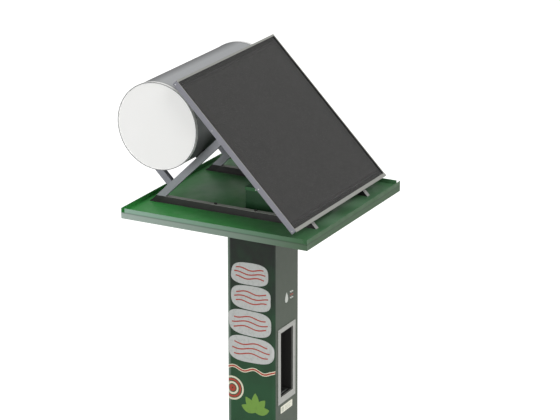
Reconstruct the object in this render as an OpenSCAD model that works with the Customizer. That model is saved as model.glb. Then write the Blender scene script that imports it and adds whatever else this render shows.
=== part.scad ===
// Solar water heater on a slim column, with a niche where the hot water is drawn.
// Millimetres. Z up, the niche and the collector face -Y, origin on the ground under the column's centre.

/* [Base] */
// Side of the square base plate
base_w = 500; // [470:10:600]
// Thickness of the base plate
base_t = 15; // [10:1:20]
// Distance between the anchor holes
anchor_pitch = 420; // [400:5:440]
// Radius of each anchor hole
anchor_r = 9; // [7:0.5:11]

/* [Column] */
// Side of the square column
column_w = 300; // [290:2:330]
// Thickness of the column's sheet
column_sheet = 3; // [2:0.5:4]
// Outer radius of the column's corners
column_corner_r = 16; // [12:1:20]
// Leg of each corner post, which is bent from plate
post_leg = 52; // [48:1:54]
// Thickness of each corner post
post_t = 4; // [3:0.5:5]
// Height of the tray's lower edge above the ground
tray_height = 2000; // [1960:10:2200]
// Thickness of the plate on top of the posts
top_plate_t = 10; // [8:1:14]

/* [Service door] */
// Height of the door's opening above the ground
door_sill = 350; // [300:10:500]
// Height of the door's opening
door_h = 1400; // [1200:10:1450]
// Gap round the door's edge
door_gap = 1.5; // [1:0.25:2.5]

/* [Niche] */
// Clear width of the niche
niche_w = 147; // [136:1:152]
// Clear height of the niche
niche_h = 390; // [350:5:410]
// Height of the niche's floor above the ground
niche_sill = 888; // [860:4:920]
// Depth of the niche behind the column's face
niche_depth = 177; // [165:1:180]
// Width of the bezel's side bars
bezel_side = 31.5; // [26:0.5:34]
// Width of the bezel's top bar
bezel_top = 28; // [20:1:34]
// Width of the bezel's bottom bar
bezel_bottom = 40; // [30:1:46]

/* [Tray] */
// How far the square tray reaches past the collector on either side
tray_overhang = 25; // [15:5:75]
// Height of the skirt under the tray's floor
skirt_h = 34; // [30:1:44]
// Height of the tray's edge above its floor
upstand_h = 24; // [16:1:36]
// Thickness of the tray's sheet
tray_sheet = 2; // [1.5:0.25:3]
// Length that the side edges stop short of each corner
edge_relief = 22; // [12:1:30]

/* [Collector] */
// How far the collector reaches past either end of the tank's shell
collector_overhang = 70; // [60:1:75]
// Length of the collector up its slope
collector_l = 1030; // [1010:5:1050]
// Thickness of the collector
collector_d = 34; // [33:1:40]
// Angle of the collector above level
collector_tilt = 45.5; // [44.5:0.5:46.5]
// Distance of the collector's lower edge in front of the column's centre
collector_front = 496; // [480:2:510]
// Height of the collector's lower edge above the tray's lower edge
collector_rise = 92; // [88:1:110]

/* [Side frames] */
// Distance of each side frame from the middle
frame_x = 315; // [295:5:330]
// Width of the frames' rectangular tube
tube_w = 30; // [25:1:35]
// Depth of the frames' rectangular tube
tube_d = 40; // [36:1:44]
// Wall of the frames' rectangular tube
tube_wall = 2; // [1.5:0.25:3]
// Length of the short tube behind the tank
stub_l = 250; // [200:5:280]

/* [Tank] */
// Radius of the tank's outer shell
tank_r = 246; // [238:1:250]
// Length of the tank's outer shell
tank_l = 960; // [930:5:970]
// Distance of the tank's centre up the collector's slope
tank_up = 934; // [920:2:940]
// Least thickness of the rubber saddles under the tank
saddle_t = 6; // [4:1:9]
// Thickness of the lagging round the inner vessel
lagging_t = 44; // [38:1:52]

/* [Pipes] */
// Outer radius of the water pipes
pipe_r = 8; // [7:0.5:9]
// Outer radius of the collector's flow and return pipes
loop_pipe_r = 10; // [9:0.5:11]
// Wall of every pipe
pipe_wall = 1; // [0.8:0.1:1.5]

/* [Hidden] */
collector_w = tank_l + 2 * collector_overhang;
tray_w = collector_w + 2 * tray_overhang;

// One overrun for every cut
over = 1;
// Root gap where two bars of one welded frame butt together
butt_gap = 0.1;
// Gap between pieces that only lie beside each other
seat_gap = 0.3;
// Radial clearance of a shaft that turns or slides
run_fit = 0.05;
// Radial clearance of a pin or pipe that is held
held_fit = 0.02;

half_w = column_w / 2;
inner_w = half_w - column_sheet;
panel_top = tray_height - top_plate_t;
floor_z = tray_height + skirt_h + tray_sheet;
beyond = 2 * tray_w;

// The niche's bounds, from the ground and from the column's centre
niche_top = niche_sill + niche_h;
niche_back = niche_depth - half_w;
liner_t = 2;
liner_lip = 10;

// The slope that the collector lies on
slope_cos = cos(collector_tilt);
slope_sin = sin(collector_tilt);
function slope_y(u, n) = -collector_front + u * slope_cos - n * slope_sin;
function slope_z(u, n) = tray_height + collector_rise + u * slope_sin + n * slope_cos;
rail_top = -collector_d;
rail_low = rail_top - tube_d;
tank_n = rail_low - saddle_t - tank_r;
tank_y = slope_y(tank_up, tank_n);
tank_z = slope_z(tank_up, tank_n);
strut_top = tank_up - tank_r - saddle_t;
strut_low = strut_top - tube_d;
stub_top = tank_n - tank_r - saddle_t;
stub_low = stub_top - tube_d;

// Places of the pipes: in the column, on the tray and on the tank's right-hand cap, to a whole step
port_step = 1;
function whole(v) = round(v / port_step) * port_step;
pipe_x = 60;
pipe_y = 104;
riser_y = -50;
cold_jog_drop = 300;
hot_jog_drop = 400;
cold_lift = 66;
hot_lift = 101;
return_lift = 40;
cold_jog_z = tray_height - cold_jog_drop;
hot_jog_z = tray_height - hot_jog_drop;
cold_run_z = tray_height + skirt_h + cold_lift;
hot_run_z = tray_height + skirt_h + hot_lift;
return_z = tray_height + skirt_h + return_lift;
tray_pipe_out = 60;
loop_pipe_out = 35;
tray_pipe_x = tank_l / 2 + tray_pipe_out;
loop_pipe_x = tank_l / 2 + loop_pipe_out;
bend_r = 20;
port_back = 60;
port_low = 170;
hot_back = 10;
hot_high = 130;
relief_back = 110;
relief_high = 30;
tank_base = [whole(tank_y), whole(tank_z)];
cold_port = tank_base + [port_back, -port_low];
hot_port = tank_base + [hot_back, hot_high];
return_port = tank_base + [-port_back, -port_low];
relief_port = tank_base + [relief_back, relief_high];
anode_port = tank_base + [0, -port_back];
flow_port_n = -187;
header_r = 9;
header_inset = 45;
flow_u = collector_l - header_inset;
flow_y = slope_y(flow_u, flow_port_n);
flow_z = slope_z(flow_u, flow_port_n);
cap_t = 3;
head_room = 30;
vessel_x = tank_l / 2 - head_room;

// Lays a piece on the slope: its Y runs up the slope and its Z stands square to the glass.
module on_slope() {
    translate([0, -collector_front, tray_height + collector_rise]) rotate([collector_tilt, 0, 0]) children();
}

// Draws a piece and its mirror image on the other side.
module both_sides() {
    children();
    mirror([1, 0, 0]) children();
}

module rounded_square(w, d, r) {
    square([w - 2 * r, d], center = true);
    square([w, d - 2 * r], center = true);
    for (x = [-1, 1], y = [-1, 1])
        translate([x * (w / 2 - r), y * (d / 2 - r)]) circle(r, $fn = 48);
}

// A hollow square section with round corners, the column's own outline.
module column_ring(w, t, r) {
    difference() {
        rounded_square(w, w, r);
        rounded_square(w - 2 * t, w - 2 * t, r - t);
    }
}

module rod_y(r, l) {
    rotate([-90, 0, 0]) cylinder(h = l, r = r, $fn = 48);
}

module rod_x(r, l, sides = 48) {
    rotate([0, 90, 0]) cylinder(h = l, r = r, $fn = sides);
}

function unit(v) = v / norm(v);

// A straight stretch of pipe between two points.
module pipe_bar(a, b, r) {
    d = b - a;
    translate(a) rotate([0, acos(d[2] / norm(d)), atan2(d[1], d[0])]) cylinder(h = norm(d), r = r, $fn = 32);
}

// A square bend at p, from direction a into direction b.
module pipe_bend(p, a, b, r, radius) {
    centre = p + (b - a) * radius;
    axis = cross(-b, a);
    multmatrix([[-b[0], a[0], axis[0], centre[0]], [-b[1], a[1], axis[1], centre[1]],
                [-b[2], a[2], axis[2], centre[2]], [0, 0, 0, 1]])
        rotate_extrude(angle = 90, $fn = 64) translate([radius, 0]) circle(r, $fn = 32);
}

// A rod through the points, which turn square corners, bent at each one.
module pipe_core(p, r, radius, ext) {
    last = len(p) - 1;
    way = [for (i = [0 : last - 1]) unit(p[i + 1] - p[i])];
    cut = [for (i = [0 : last]) i == 0 || i == last ? -ext : radius];
    for (i = [0 : last - 1]) pipe_bar(p[i] + way[i] * cut[i], p[i + 1] - way[i] * cut[i + 1], r);
    for (i = [1 : last - 1]) pipe_bend(p[i], way[i - 1], way[i], r, radius);
}

module pipe(p, r, radius = bend_r) {
    difference() {
        pipe_core(p, r, radius, 0);
        pipe_core(p, r - pipe_wall, radius, over);
    }
}

// Base

cold_hole_gap = 4;
cold_hole_r = pipe_r + cold_hole_gap;
drain_r = 10;
drain_y = -60;

module base_plate() color("#4c5550") {
    difference() {
        translate([-base_w / 2, -base_w / 2, 0]) cube([base_w, base_w, base_t]);
        for (x = [-1, 1], y = [-1, 1]) translate([x * anchor_pitch / 2, y * anchor_pitch / 2, -over])
            cylinder(h = base_t + 2 * over, r = anchor_r, $fn = 48);
        translate([pipe_x, pipe_y, -over]) cylinder(h = base_t + 2 * over, r = cold_hole_r, $fn = 48);
        translate([0, drain_y, -over]) cylinder(h = base_t + 2 * over, r = drain_r + held_fit, $fn = 48);
    }
}

// Column

module corner_posts() color("#5a635d") translate([0, 0, base_t]) linear_extrude(panel_top - base_t) {
    for (x = [-1, 1], y = [-1, 1]) difference() {
        intersection() {
            column_ring(2 * inner_w, post_t, column_corner_r - column_sheet);
            translate([x * (inner_w - post_leg / 2), y * (inner_w - post_leg / 2)])
                square(post_leg, center = true);
        }
        translate([x * (inner_w - column_corner_r + column_sheet - butt_gap), y * (inner_w - post_t / 2)])
            square([butt_gap, post_t + 2 * over], center = true);
    }
}

plate_bolt_x = 90;
plate_bolt_r = 5;

module top_plate() color("#4c5550") translate([0, 0, panel_top]) difference() {
    linear_extrude(top_plate_t) rounded_square(column_w, column_w, column_corner_r);
    for (x = [-1, 1]) translate([x * pipe_x, riser_y, -over])
        cylinder(h = top_plate_t + 2 * over, r = pipe_r + seat_gap, $fn = 48);
    for (x = [-1, 1], y = [-1, 1]) translate([x * plate_bolt_x, y * beam_y, -over])
        cylinder(h = top_plate_t + 2 * over, r = plate_bolt_r + seat_gap, $fn = 48);
}

// The seams lie on the front and rear faces, where the folded sides return.
seam_inset = 4;
post_overlap = 10;
front_seam = half_w - column_corner_r - seam_inset;
rear_seam = inner_w - post_leg + post_overlap;
seam_gap = 0.5;

module side_panel() translate([0, 0, base_t]) linear_extrude(panel_top - base_t) intersection() {
    column_ring(column_w, column_sheet, column_corner_r);
    union() {
        translate([-half_w, -half_w]) square([half_w - front_seam, half_w]);
        translate([-half_w, 0]) square([half_w - rear_seam, half_w]);
    }
}

module left_panel() color("#36443b") side_panel();

module right_panel() color("#56605a") mirror([1, 0, 0]) side_panel();

bezel_return_t = 1.5;
cutout_gap = 1;
cutout_w = niche_w + 2 * (bezel_return_t + cutout_gap);
cutout_h = niche_h + 2 * (bezel_return_t + cutout_gap);

module front_panel() color("#5d6860") difference() {
    translate([-front_seam + seam_gap, -half_w, base_t])
        cube([2 * (front_seam - seam_gap), column_sheet, panel_top - base_t]);
    translate([-cutout_w / 2, -half_w - over, niche_sill - (cutout_h - niche_h) / 2])
        cube([cutout_w, column_sheet + 2 * over, cutout_h]);
}

module rear_panels() color("#56605a") {
    for (span = [[base_t, door_sill], [door_sill + door_h, panel_top]])
        translate([-rear_seam + seam_gap, inner_w, span[0]])
            cube([2 * (rear_seam - seam_gap), column_sheet, span[1] - span[0]]);
}

// Service door, hung on two butt hinges on the right and held by a cam lock on the left

door_face = half_w;
door_seat_gap = 0.5;
door_back = inner_w + door_seat_gap;
door_low = door_sill + door_gap;
door_top = door_sill + door_h - door_gap;
door_edge = rear_seam - door_gap;
lock_inset = 34;
lock_x = -door_edge + lock_inset;
lock_z = door_sill + door_h / 2;
lock_sleeve_r = 11;
lock_plug_r = 8;
lock_flange_r = 14;
lock_flange_t = 2;
cam_t = 3;
cam_w = 15;
cam_reach = 36;
cam_gap = 0.5;
cam_y = inner_w - post_t - cam_gap - cam_t;
sleeve_gap = 1;

module service_door() color("#56605a") difference() {
    translate([-door_edge, door_back, door_low])
        cube([2 * door_edge, door_face - door_back, door_top - door_low]);
    translate([lock_x, door_back - over, lock_z]) rod_y(lock_sleeve_r + held_fit, column_sheet + 2 * over);
}

hinge_h = 66;
knuckle_r = 5.5;
hinge_pin_r = 3;
leaf_t = 2.5;
leaf_w = 22;
knuckle_gap = 0.5;
leaf_clear = knuckle_r + knuckle_gap + knuckle_gap;
hinge_x = rear_seam;
hinge_y = half_w + knuckle_r;
hinge_inset = 140;
hinge_places = [door_low + hinge_inset, door_top - hinge_inset - hinge_h];
knuckle_h = hinge_h / 3;

// One leaf of a hinge: its plate, the web out to the pin and the knuckles at the heights in spans.
module hinge_leaf(side, spans, bore) {
    difference() {
        union() {
            translate([side > 0 ? leaf_clear : -leaf_clear - leaf_w, -knuckle_r, 0])
                cube([leaf_w, leaf_t, hinge_h]);
            for (s = spans) {
                translate([side > 0 ? 0 : -leaf_clear, -knuckle_r, s[0]])
                    cube([leaf_clear, leaf_t, s[1] - s[0]]);
                translate([0, 0, s[0]]) cylinder(h = s[1] - s[0], r = knuckle_r, $fn = 48);
            }
        }
        translate([0, 0, -over]) cylinder(h = hinge_h + 2 * over, r = bore, $fn = 48);
    }
}

module hinge_frame_leaves() color("#aab0ad") for (z = hinge_places) translate([hinge_x, hinge_y, z])
    hinge_leaf(1, [[0, knuckle_h - knuckle_gap], [2 * knuckle_h + knuckle_gap, hinge_h]],
               hinge_pin_r + held_fit);

module hinge_door_leaves() color("#aab0ad") for (z = hinge_places) translate([hinge_x, hinge_y, z])
    hinge_leaf(-1, [[knuckle_h, 2 * knuckle_h]], hinge_pin_r + run_fit);

pin_head_h = 2;
pin_head_r = 4.5;

module hinge_pins() color("#c6cac8") for (z = hinge_places) translate([hinge_x, hinge_y, z]) {
    cylinder(h = hinge_h, r = hinge_pin_r, $fn = 48);
    translate([0, 0, hinge_h]) cylinder(h = pin_head_h, r = pin_head_r, $fn = 48);
}

module lock_housing() color("#b4b8b6") translate([lock_x, 0, lock_z]) difference() {
    union() {
        translate([0, cam_y + cam_t + sleeve_gap, 0])
            rod_y(lock_sleeve_r, door_face - cam_y - cam_t - sleeve_gap);
        translate([0, door_face, 0]) rod_y(lock_flange_r, lock_flange_t);
    }
    translate([0, cam_y - over, 0]) rod_y(lock_plug_r + run_fit, cam_t + column_w / 2);
}

key_slot_w = 1.6;
key_slot_l = 9;
key_slot_d = 4;

module lock_cam() color("#8f9492") translate([lock_x, 0, lock_z]) difference() {
    union() {
        translate([0, cam_y, 0]) rod_y(lock_plug_r, door_face + lock_flange_t + seat_gap - cam_y);
        translate([-cam_w / 2, cam_y, 0]) cube([cam_w, cam_t, cam_reach]);
    }
    translate([-key_slot_w / 2, door_face + lock_flange_t + seat_gap - key_slot_d, -key_slot_l / 2])
        cube([key_slot_w, key_slot_d + over, key_slot_l]);
}

// Niche

bezel_t = 3;
bezel_return_d = 12;
bezel_w = niche_w + 2 * bezel_side;
bezel_h = niche_h + bezel_top + bezel_bottom;

module niche_bezel() color("#a9aaa5") {
    difference() {
        union() {
            translate([-bezel_w / 2, -half_w - bezel_t, niche_sill - bezel_bottom])
                cube([bezel_w, bezel_t, bezel_h]);
            translate([-niche_w / 2 - bezel_return_t, -half_w - bezel_t, niche_sill - bezel_return_t])
                cube([niche_w + 2 * bezel_return_t, bezel_return_d, niche_h + 2 * bezel_return_t]);
        }
        translate([-niche_w / 2, -half_w - bezel_t - over, niche_sill])
            cube([niche_w, bezel_return_d + 2 * over, niche_h]);
        for (z = [niche_sill - butt_gap, niche_top]) both_sides()
            translate([niche_w / 2 - over / 2, -half_w - bezel_t - over, z])
                cube([bezel_side + 2 * over, bezel_return_d + 2 * over, butt_gap]);
    }
}

liner_front = bezel_return_d - bezel_t - half_w;
liner_flange_w = 6;
spout_r = 8;
spout_below = 45;
paddle_below = 72;
spout_z = niche_top - spout_below;
paddle_z = niche_top - paddle_below;
paddle_drop = 45;
stem_r = 4;
stem_z = paddle_z - paddle_drop;
bowl_w = 110;
bowl_l = 100;
bowl_y = -72;
bowl_lip = 6;

module niche_liner() color("#1d1d1c") difference() {
    union() {
        translate([-niche_w / 2 - liner_t, liner_front, niche_sill - liner_t])
            cube([niche_w + 2 * liner_t, niche_back + liner_t - liner_front, niche_h + 2 * liner_t]);
        translate([-niche_w / 2 - liner_t - liner_flange_w, -inner_w, niche_sill - liner_t - liner_flange_w])
            cube([niche_w + 2 * (liner_t + liner_flange_w), liner_front + liner_t + inner_w,
                  niche_h + 2 * (liner_t + liner_flange_w)]);
    }
    translate([-niche_w / 2, liner_front - over, niche_sill])
        cube([niche_w, niche_back - liner_front + over, niche_h]);
    translate([-niche_w / 2 - bezel_return_t - seat_gap, -inner_w - over,
               niche_sill - bezel_return_t - seat_gap])
        cube([niche_w + 2 * (bezel_return_t + seat_gap), liner_front + inner_w + over,
              niche_h + 2 * (bezel_return_t + seat_gap)]);
    translate([-bowl_w / 2, bowl_y - bowl_l / 2, niche_sill - liner_t - over])
        cube([bowl_w, bowl_l, liner_t + 2 * over]);
    translate([0, niche_back - over, spout_z]) rod_y(spout_r + held_fit, liner_t + 2 * over);
    translate([0, niche_back - over, stem_z]) rod_y(stem_r + cutout_gap, liner_t + 2 * over);
}

bowl_d = 34;
bowl_t = 1.5;
outlet_l = 14;

// The bowl hangs by its lip in the hole of the niche's floor and drains from its middle.
module drip_bowl() color("#b9bcba") translate([0, bowl_y, niche_sill]) difference() {
    union() {
        translate([-bowl_w / 2 - bowl_lip, -bowl_l / 2 - bowl_lip, 0])
            cube([bowl_w + 2 * bowl_lip, bowl_l + 2 * bowl_lip, bowl_t]);
        translate([-bowl_w / 2 + seat_gap, -bowl_l / 2 + seat_gap, -bowl_d])
            cube([bowl_w - 2 * seat_gap, bowl_l - 2 * seat_gap, bowl_d]);
        translate([0, drain_y - bowl_y, -bowl_d - outlet_l])
            cylinder(h = outlet_l, r = drain_r + pipe_wall, $fn = 48);
    }
    translate([-bowl_w / 2 + seat_gap + bowl_t, -bowl_l / 2 + seat_gap + bowl_t, bowl_t - bowl_d])
        cube([bowl_w - 2 * (seat_gap + bowl_t), bowl_l - 2 * (seat_gap + bowl_t), bowl_d + over]);
    translate([0, drain_y - bowl_y, -bowl_d - outlet_l - over])
        cylinder(h = outlet_l + bowl_t + 2 * over, r = drain_r + held_fit, $fn = 48);
}

grille_margin = 3;
grille_t = 3;
slot_w = 6;
slot_pitch = 12;
slot_edge = 14;

// A flat plate with slots across it, which lifts out for cleaning.
module drip_grille() color("#a3a7a5") translate([0, bowl_y, niche_sill + bowl_t]) {
    w = bowl_w + 2 * (bowl_lip - grille_margin);
    l = bowl_l + 2 * (bowl_lip - grille_margin);
    count = floor((l - 2 * slot_edge) / slot_pitch);
    difference() {
        translate([-w / 2, -l / 2, 0]) cube([w, l, grille_t]);
        for (i = [0 : count]) translate([-w / 2 + slot_edge, (i - count / 2) * slot_pitch - slot_w / 2, -over])
            cube([w - 2 * slot_edge, slot_w, grille_t + 2 * over]);
    }
}

spout_reach = 55;
spout_drop = 48;
tap_w = 40;
tap_d = 50;
tap_foot = 26;
tap_head = 18;
tap_low = stem_z - tap_foot;
tap_top = spout_z + tap_head;

module spout() color("#c9ccca")
    pipe([[0, niche_back + liner_t, spout_z], [0, niche_back - spout_reach, spout_z],
          [0, niche_back - spout_reach, spout_z - spout_drop]], spout_r);

stem_in = 25;
stem_bore_l = 42;

module tap_block() color("#b79a57") difference() {
    translate([-tap_w / 2, niche_back + liner_t, tap_low]) cube([tap_w, tap_d, tap_top - tap_low]);
    translate([0, niche_back + liner_t - over, stem_z]) rod_y(stem_r + run_fit, stem_bore_l + over);
}

// Paddle: a bottle pushes it back, and it pushes the valve's stem.

paddle_reach = 22;
paddle_t = 3;
paddle_w = 30;
paddle_l = 98;
barrel_r = 6;
paddle_pin_r = 2.5;
ear_t = 3;
ear_gap = 0.5;
bracket_t = 3;
bracket_h = 16;
paddle_y = niche_back - paddle_reach;
stem_tip = paddle_y + paddle_t / 2 + seat_gap;

module valve_stem() color("#c9ccca") translate([0, stem_tip, stem_z])
    rod_y(stem_r, niche_back + liner_t + stem_in - stem_tip);

module paddle_bracket() color("#b4b8b6") difference() {
    union() {
        translate([-paddle_w / 2 - ear_gap - ear_t, niche_back - bracket_t, paddle_z - bracket_h / 2])
            cube([paddle_w + 2 * (ear_gap + ear_t), bracket_t, bracket_h]);
        for (x = [-paddle_w / 2 - ear_gap - ear_t, paddle_w / 2 + ear_gap]) {
            translate([x, paddle_y, paddle_z - barrel_r]) cube([ear_t, paddle_reach, 2 * barrel_r]);
            translate([x, paddle_y, paddle_z]) rod_x(barrel_r, ear_t);
        }
    }
    translate([-paddle_w, paddle_y, paddle_z]) rod_x(paddle_pin_r + held_fit, 2 * paddle_w);
}

module paddle() color("#9a9e9c") difference() {
    union() {
        translate([-paddle_w / 2, paddle_y, paddle_z]) rod_x(barrel_r, paddle_w);
        translate([-paddle_w / 2, paddle_y - paddle_t / 2, paddle_z - paddle_l])
            cube([paddle_w, paddle_t, paddle_l]);
    }
    translate([-paddle_w, paddle_y, paddle_z]) rod_x(paddle_pin_r + run_fit, 2 * paddle_w);
}

module paddle_pin() color("#c6cac8") translate([-paddle_w / 2 - ear_gap - ear_t, paddle_y, paddle_z])
    rod_x(paddle_pin_r, paddle_w + 2 * (ear_gap + ear_t));

// Mixing valve behind the niche: hot from above, cold from below, mixed out towards the tap

mix_rise = 10;
mix_z = stem_z + mix_rise;
mix_h = 60;
mix_r = 18;
mixed_pipe_r = 7;
mixed_bend_r = 12;
socket_l = 6;
spindle_r = 3;
spindle_l = 10;
boss_l = 4;
boss_r = 9;

module mixing_valve() color("#b79a57") translate([-pipe_x, pipe_y, mix_z]) difference() {
    union() {
        translate([0, 0, -mix_h / 2]) cylinder(h = mix_h, r = mix_r, $fn = 48);
        rod_y(boss_r, mix_r + boss_l);
        rod_y(spindle_r, mix_r + boss_l + spindle_l);
    }
    translate([0, -mix_r - over, 0]) rod_y(mixed_pipe_r + held_fit, socket_l + over);
}

knob_r = 16;
knob_h = 13;
grip_count = 8;
grip_r = 2;

module mixing_knob() color("#2e3032")
translate([-pipe_x, pipe_y + mix_r + boss_l + seat_gap, mix_z]) difference() {
    rod_y(knob_r, knob_h);
    translate([0, -over, 0]) rod_y(spindle_r + run_fit, spindle_l + over);
    for (i = [0 : grip_count - 1]) rotate([0, i * 360 / grip_count, 0])
        translate([knob_r, -over, 0]) rod_y(grip_r, knob_h + 2 * over);
}

module mixed_pipe() color("#a9683e") pipe([[-pipe_x, pipe_y - mix_r + socket_l, mix_z],
    [-pipe_x, niche_back + liner_t + tap_d / 2, mix_z], [-tap_w / 2, niche_back + liner_t + tap_d / 2, mix_z]],
    mixed_pipe_r, mixed_bend_r);

// Water pipes

module hot_pipe() color("#a9683e") pipe([[-pipe_x, pipe_y, mix_z + mix_h / 2], [-pipe_x, pipe_y, hot_jog_z],
    [-pipe_x, riser_y, hot_jog_z], [-pipe_x, riser_y, hot_run_z], [tray_pipe_x, riser_y, hot_run_z],
    [tray_pipe_x, hot_port[0], hot_run_z], [tray_pipe_x, hot_port[0], hot_port[1]],
    [vessel_x, hot_port[0], hot_port[1]]], pipe_r);

tee_drop = 30;
tee_z = mix_z - mix_h / 2 - tee_drop;

branch_r = 7;

module cold_core(wall, ext) {
    pipe_core([[pipe_x, pipe_y, 0], [pipe_x, pipe_y, cold_jog_z], [pipe_x, riser_y, cold_jog_z],
               [pipe_x, riser_y, cold_run_z], [tray_pipe_x, riser_y, cold_run_z],
               [tray_pipe_x, cold_port[0], cold_run_z], [tray_pipe_x, cold_port[0], cold_port[1]],
               [vessel_x, cold_port[0], cold_port[1]]], pipe_r - wall, bend_r, ext);
    pipe_core([[pipe_x, pipe_y, tee_z], [-pipe_x, pipe_y, tee_z], [-pipe_x, pipe_y, mix_z - mix_h / 2]],
              branch_r - wall, bend_r, ext);
}

module cold_pipe() color("#a9683e") difference() {
    cold_core(0, 0);
    cold_core(pipe_wall, over);
}

stop_rise = 160;
stop_z = door_sill + stop_rise;
stop_r = 17;
stop_h = 52;
lever_l = 78;
lever_w = 14;
lever_t = 4;
hub_r = 10;
lever_y = pipe_y + stop_r + boss_l;

module stop_valve() color("#b79a57") translate([pipe_x, pipe_y, stop_z]) difference() {
    union() {
        translate([0, 0, -stop_h / 2]) cylinder(h = stop_h, r = stop_r, $fn = 48);
        rod_y(boss_r, stop_r + boss_l);
        rod_y(spindle_r, stop_r + boss_l + spindle_l);
    }
    translate([0, 0, -stop_h / 2 - over]) cylinder(h = stop_h + 2 * over, r = pipe_r + held_fit, $fn = 32);
}

module stop_lever() color("#b5342a") translate([pipe_x, lever_y + seat_gap, stop_z]) difference() {
    union() {
        rod_y(hub_r, lever_t);
        translate([-lever_w / 2, 0, 0]) cube([lever_w, lever_t, lever_l]);
        translate([0, 0, lever_l]) rod_y(lever_w / 2, lever_t);
    }
    translate([0, -over, 0]) rod_y(spindle_r + run_fit, lever_t + 2 * over);
}

module drain_pipe() color("#3b3f41") translate([0, drain_y, 0]) difference() {
    cylinder(h = niche_sill - bowl_d - bowl_t, r = drain_r, $fn = 48);
    translate([0, 0, -over]) cylinder(h = niche_sill + 2 * over, r = drain_r - 2 * pipe_wall, $fn = 48);
}

// Tray

beam_inset = 25;
beam_y = half_w - beam_inset;
beam_w = 40;
beam_wall = 3;
frame_bolt_r = 5;

module tray_holes(h) {
    for (x = [-1, 1]) translate([x * pipe_x, riser_y, 0]) cylinder(h = h, r = grommet_r, $fn = 48);
    for (x = [-1, 1], y = [-1, 1]) translate([x * frame_x, y * beam_y, 0])
        cylinder(h = h, r = frame_bolt_r + seat_gap, $fn = 48);
}

// The pan: its floor, the front and rear edges at full length and the side edges cut short.
module tray_pan() color("#2f6b3a") translate([0, 0, tray_height + skirt_h]) {
    difference() {
        union() {
            translate([-tray_w / 2, -tray_w / 2, 0]) cube([tray_w, tray_w, tray_sheet]);
            for (y = [-tray_w / 2, tray_w / 2 - tray_sheet])
                translate([-tray_w / 2, y, 0]) cube([tray_w, tray_sheet, tray_sheet + upstand_h]);
            for (x = [-tray_w / 2, tray_w / 2 - tray_sheet])
                translate([x, -tray_w / 2 + edge_relief, 0])
                    cube([tray_sheet, tray_w - 2 * edge_relief, tray_sheet + upstand_h]);
        }
        translate([0, 0, -over]) tray_holes(tray_sheet + 2 * over);
    }
}

skirt_return = 26;

// One side of the skirt: a folded channel with mitred ends.
module skirt_side() intersection() {
    translate([-tray_w / 2, -tray_w / 2, tray_height]) difference() {
        cube([tray_w, skirt_return, skirt_h]);
        translate([-over, tray_sheet, tray_sheet])
            cube([tray_w + 2 * over, skirt_return, skirt_h - 2 * tray_sheet]);
    }
    translate([0, 0, tray_height - over]) linear_extrude(skirt_h + 2 * over)
        polygon([[-tray_w / 2, -tray_w / 2], [tray_w / 2, -tray_w / 2], [0, 0]]);
}

module tray_skirt() color("#5f7a68") for (turn = [0, 90, 180, 270]) rotate([0, 0, turn]) skirt_side();

beam_l = tray_w - 2 * skirt_return;

module cross_beams() color("#4c5550") for (side = [-1, 1]) difference() {
    translate([-beam_l / 2, side * beam_y - beam_w / 2, tray_height]) cube([beam_l, beam_w, skirt_h]);
    translate([-beam_l / 2 - over, side * beam_y - beam_w / 2 + beam_wall, tray_height + beam_wall])
        cube([beam_l + 2 * over, beam_w - 2 * beam_wall, skirt_h - 2 * beam_wall]);
    for (x = [-1, 1]) translate([x * plate_bolt_x, side * beam_y, tray_height - over])
        cylinder(h = beam_wall + 2 * over, r = plate_bolt_r + seat_gap, $fn = 48);
    for (x = [-1, 1]) translate([x * frame_x, side * beam_y, tray_height - over])
        cylinder(h = skirt_h + 2 * over, r = frame_bolt_r + seat_gap, $fn = 48);
}

// Housing on the tray, over the place where the pipes come up

housing_w = 400;
housing_back = 0;
housing_l = 330;
housing_h = 126;
housing_t = 1.5;
housing_flange = 15;
lid_t = 2;
lid_lip = 18;

module housing_box() color("#234a2b") translate([0, housing_back, floor_z]) difference() {
    union() {
        translate([-housing_w / 2, -housing_l, 0]) cube([housing_w, housing_l, housing_h]);
        translate([-housing_w / 2 - housing_flange, -housing_l - housing_flange, 0])
            cube([housing_w + 2 * housing_flange, housing_l + 2 * housing_flange, housing_t]);
    }
    translate([-housing_w / 2 + housing_t, -housing_l + housing_t, -over])
        cube([housing_w - 2 * housing_t, housing_l - 2 * housing_t, housing_h + 2 * over]);
    for (z = [cold_run_z, hot_run_z])
        translate([housing_w / 2 - housing_t - over, riser_y - housing_back, z - floor_z])
            rod_x(pipe_r + seat_gap, housing_t + 2 * over);
}

module housing_lid() color("#2a5833") translate([0, housing_back, floor_z + housing_h]) difference() {
    translate([-housing_w / 2 - lid_t - seat_gap, -housing_l - lid_t - seat_gap, -lid_lip])
        cube([housing_w + 2 * (lid_t + seat_gap), housing_l + 2 * (lid_t + seat_gap), lid_lip + lid_t]);
    translate([-housing_w / 2 - seat_gap, -housing_l - seat_gap, -lid_lip - over])
        cube([housing_w + 2 * seat_gap, housing_l + 2 * seat_gap, lid_lip + over]);
}

grommet_r = 16;
grommet_lip = 4;
grommet_t = 3;

module pipe_grommets() color("#232323")
for (x = [-1, 1]) translate([x * pipe_x, riser_y, floor_z]) difference() {
    union() {
        cylinder(h = grommet_t, r = grommet_r + grommet_lip, $fn = 48);
        translate([0, 0, -tray_sheet]) cylinder(h = tray_sheet + over, r = grommet_r - held_fit, $fn = 48);
    }
    translate([0, 0, -skirt_h]) cylinder(h = 2 * skirt_h, r = pipe_r + held_fit, $fn = 48);
}

// Side frames of rectangular tube: they carry the collector in front and cradle the tank behind.

module box_tube(w, l, d) difference() {
    cube([w, l, d]);
    translate([tube_wall, -over, tube_wall]) cube([w - 2 * tube_wall, l + 2 * over, d - 2 * tube_wall]);
}

module below_floor() translate([-beyond / 2, -beyond / 2, 0]) cube([beyond, beyond, floor_z]);

rail_inset = 30;
rail_end = collector_l - rail_inset;

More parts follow.
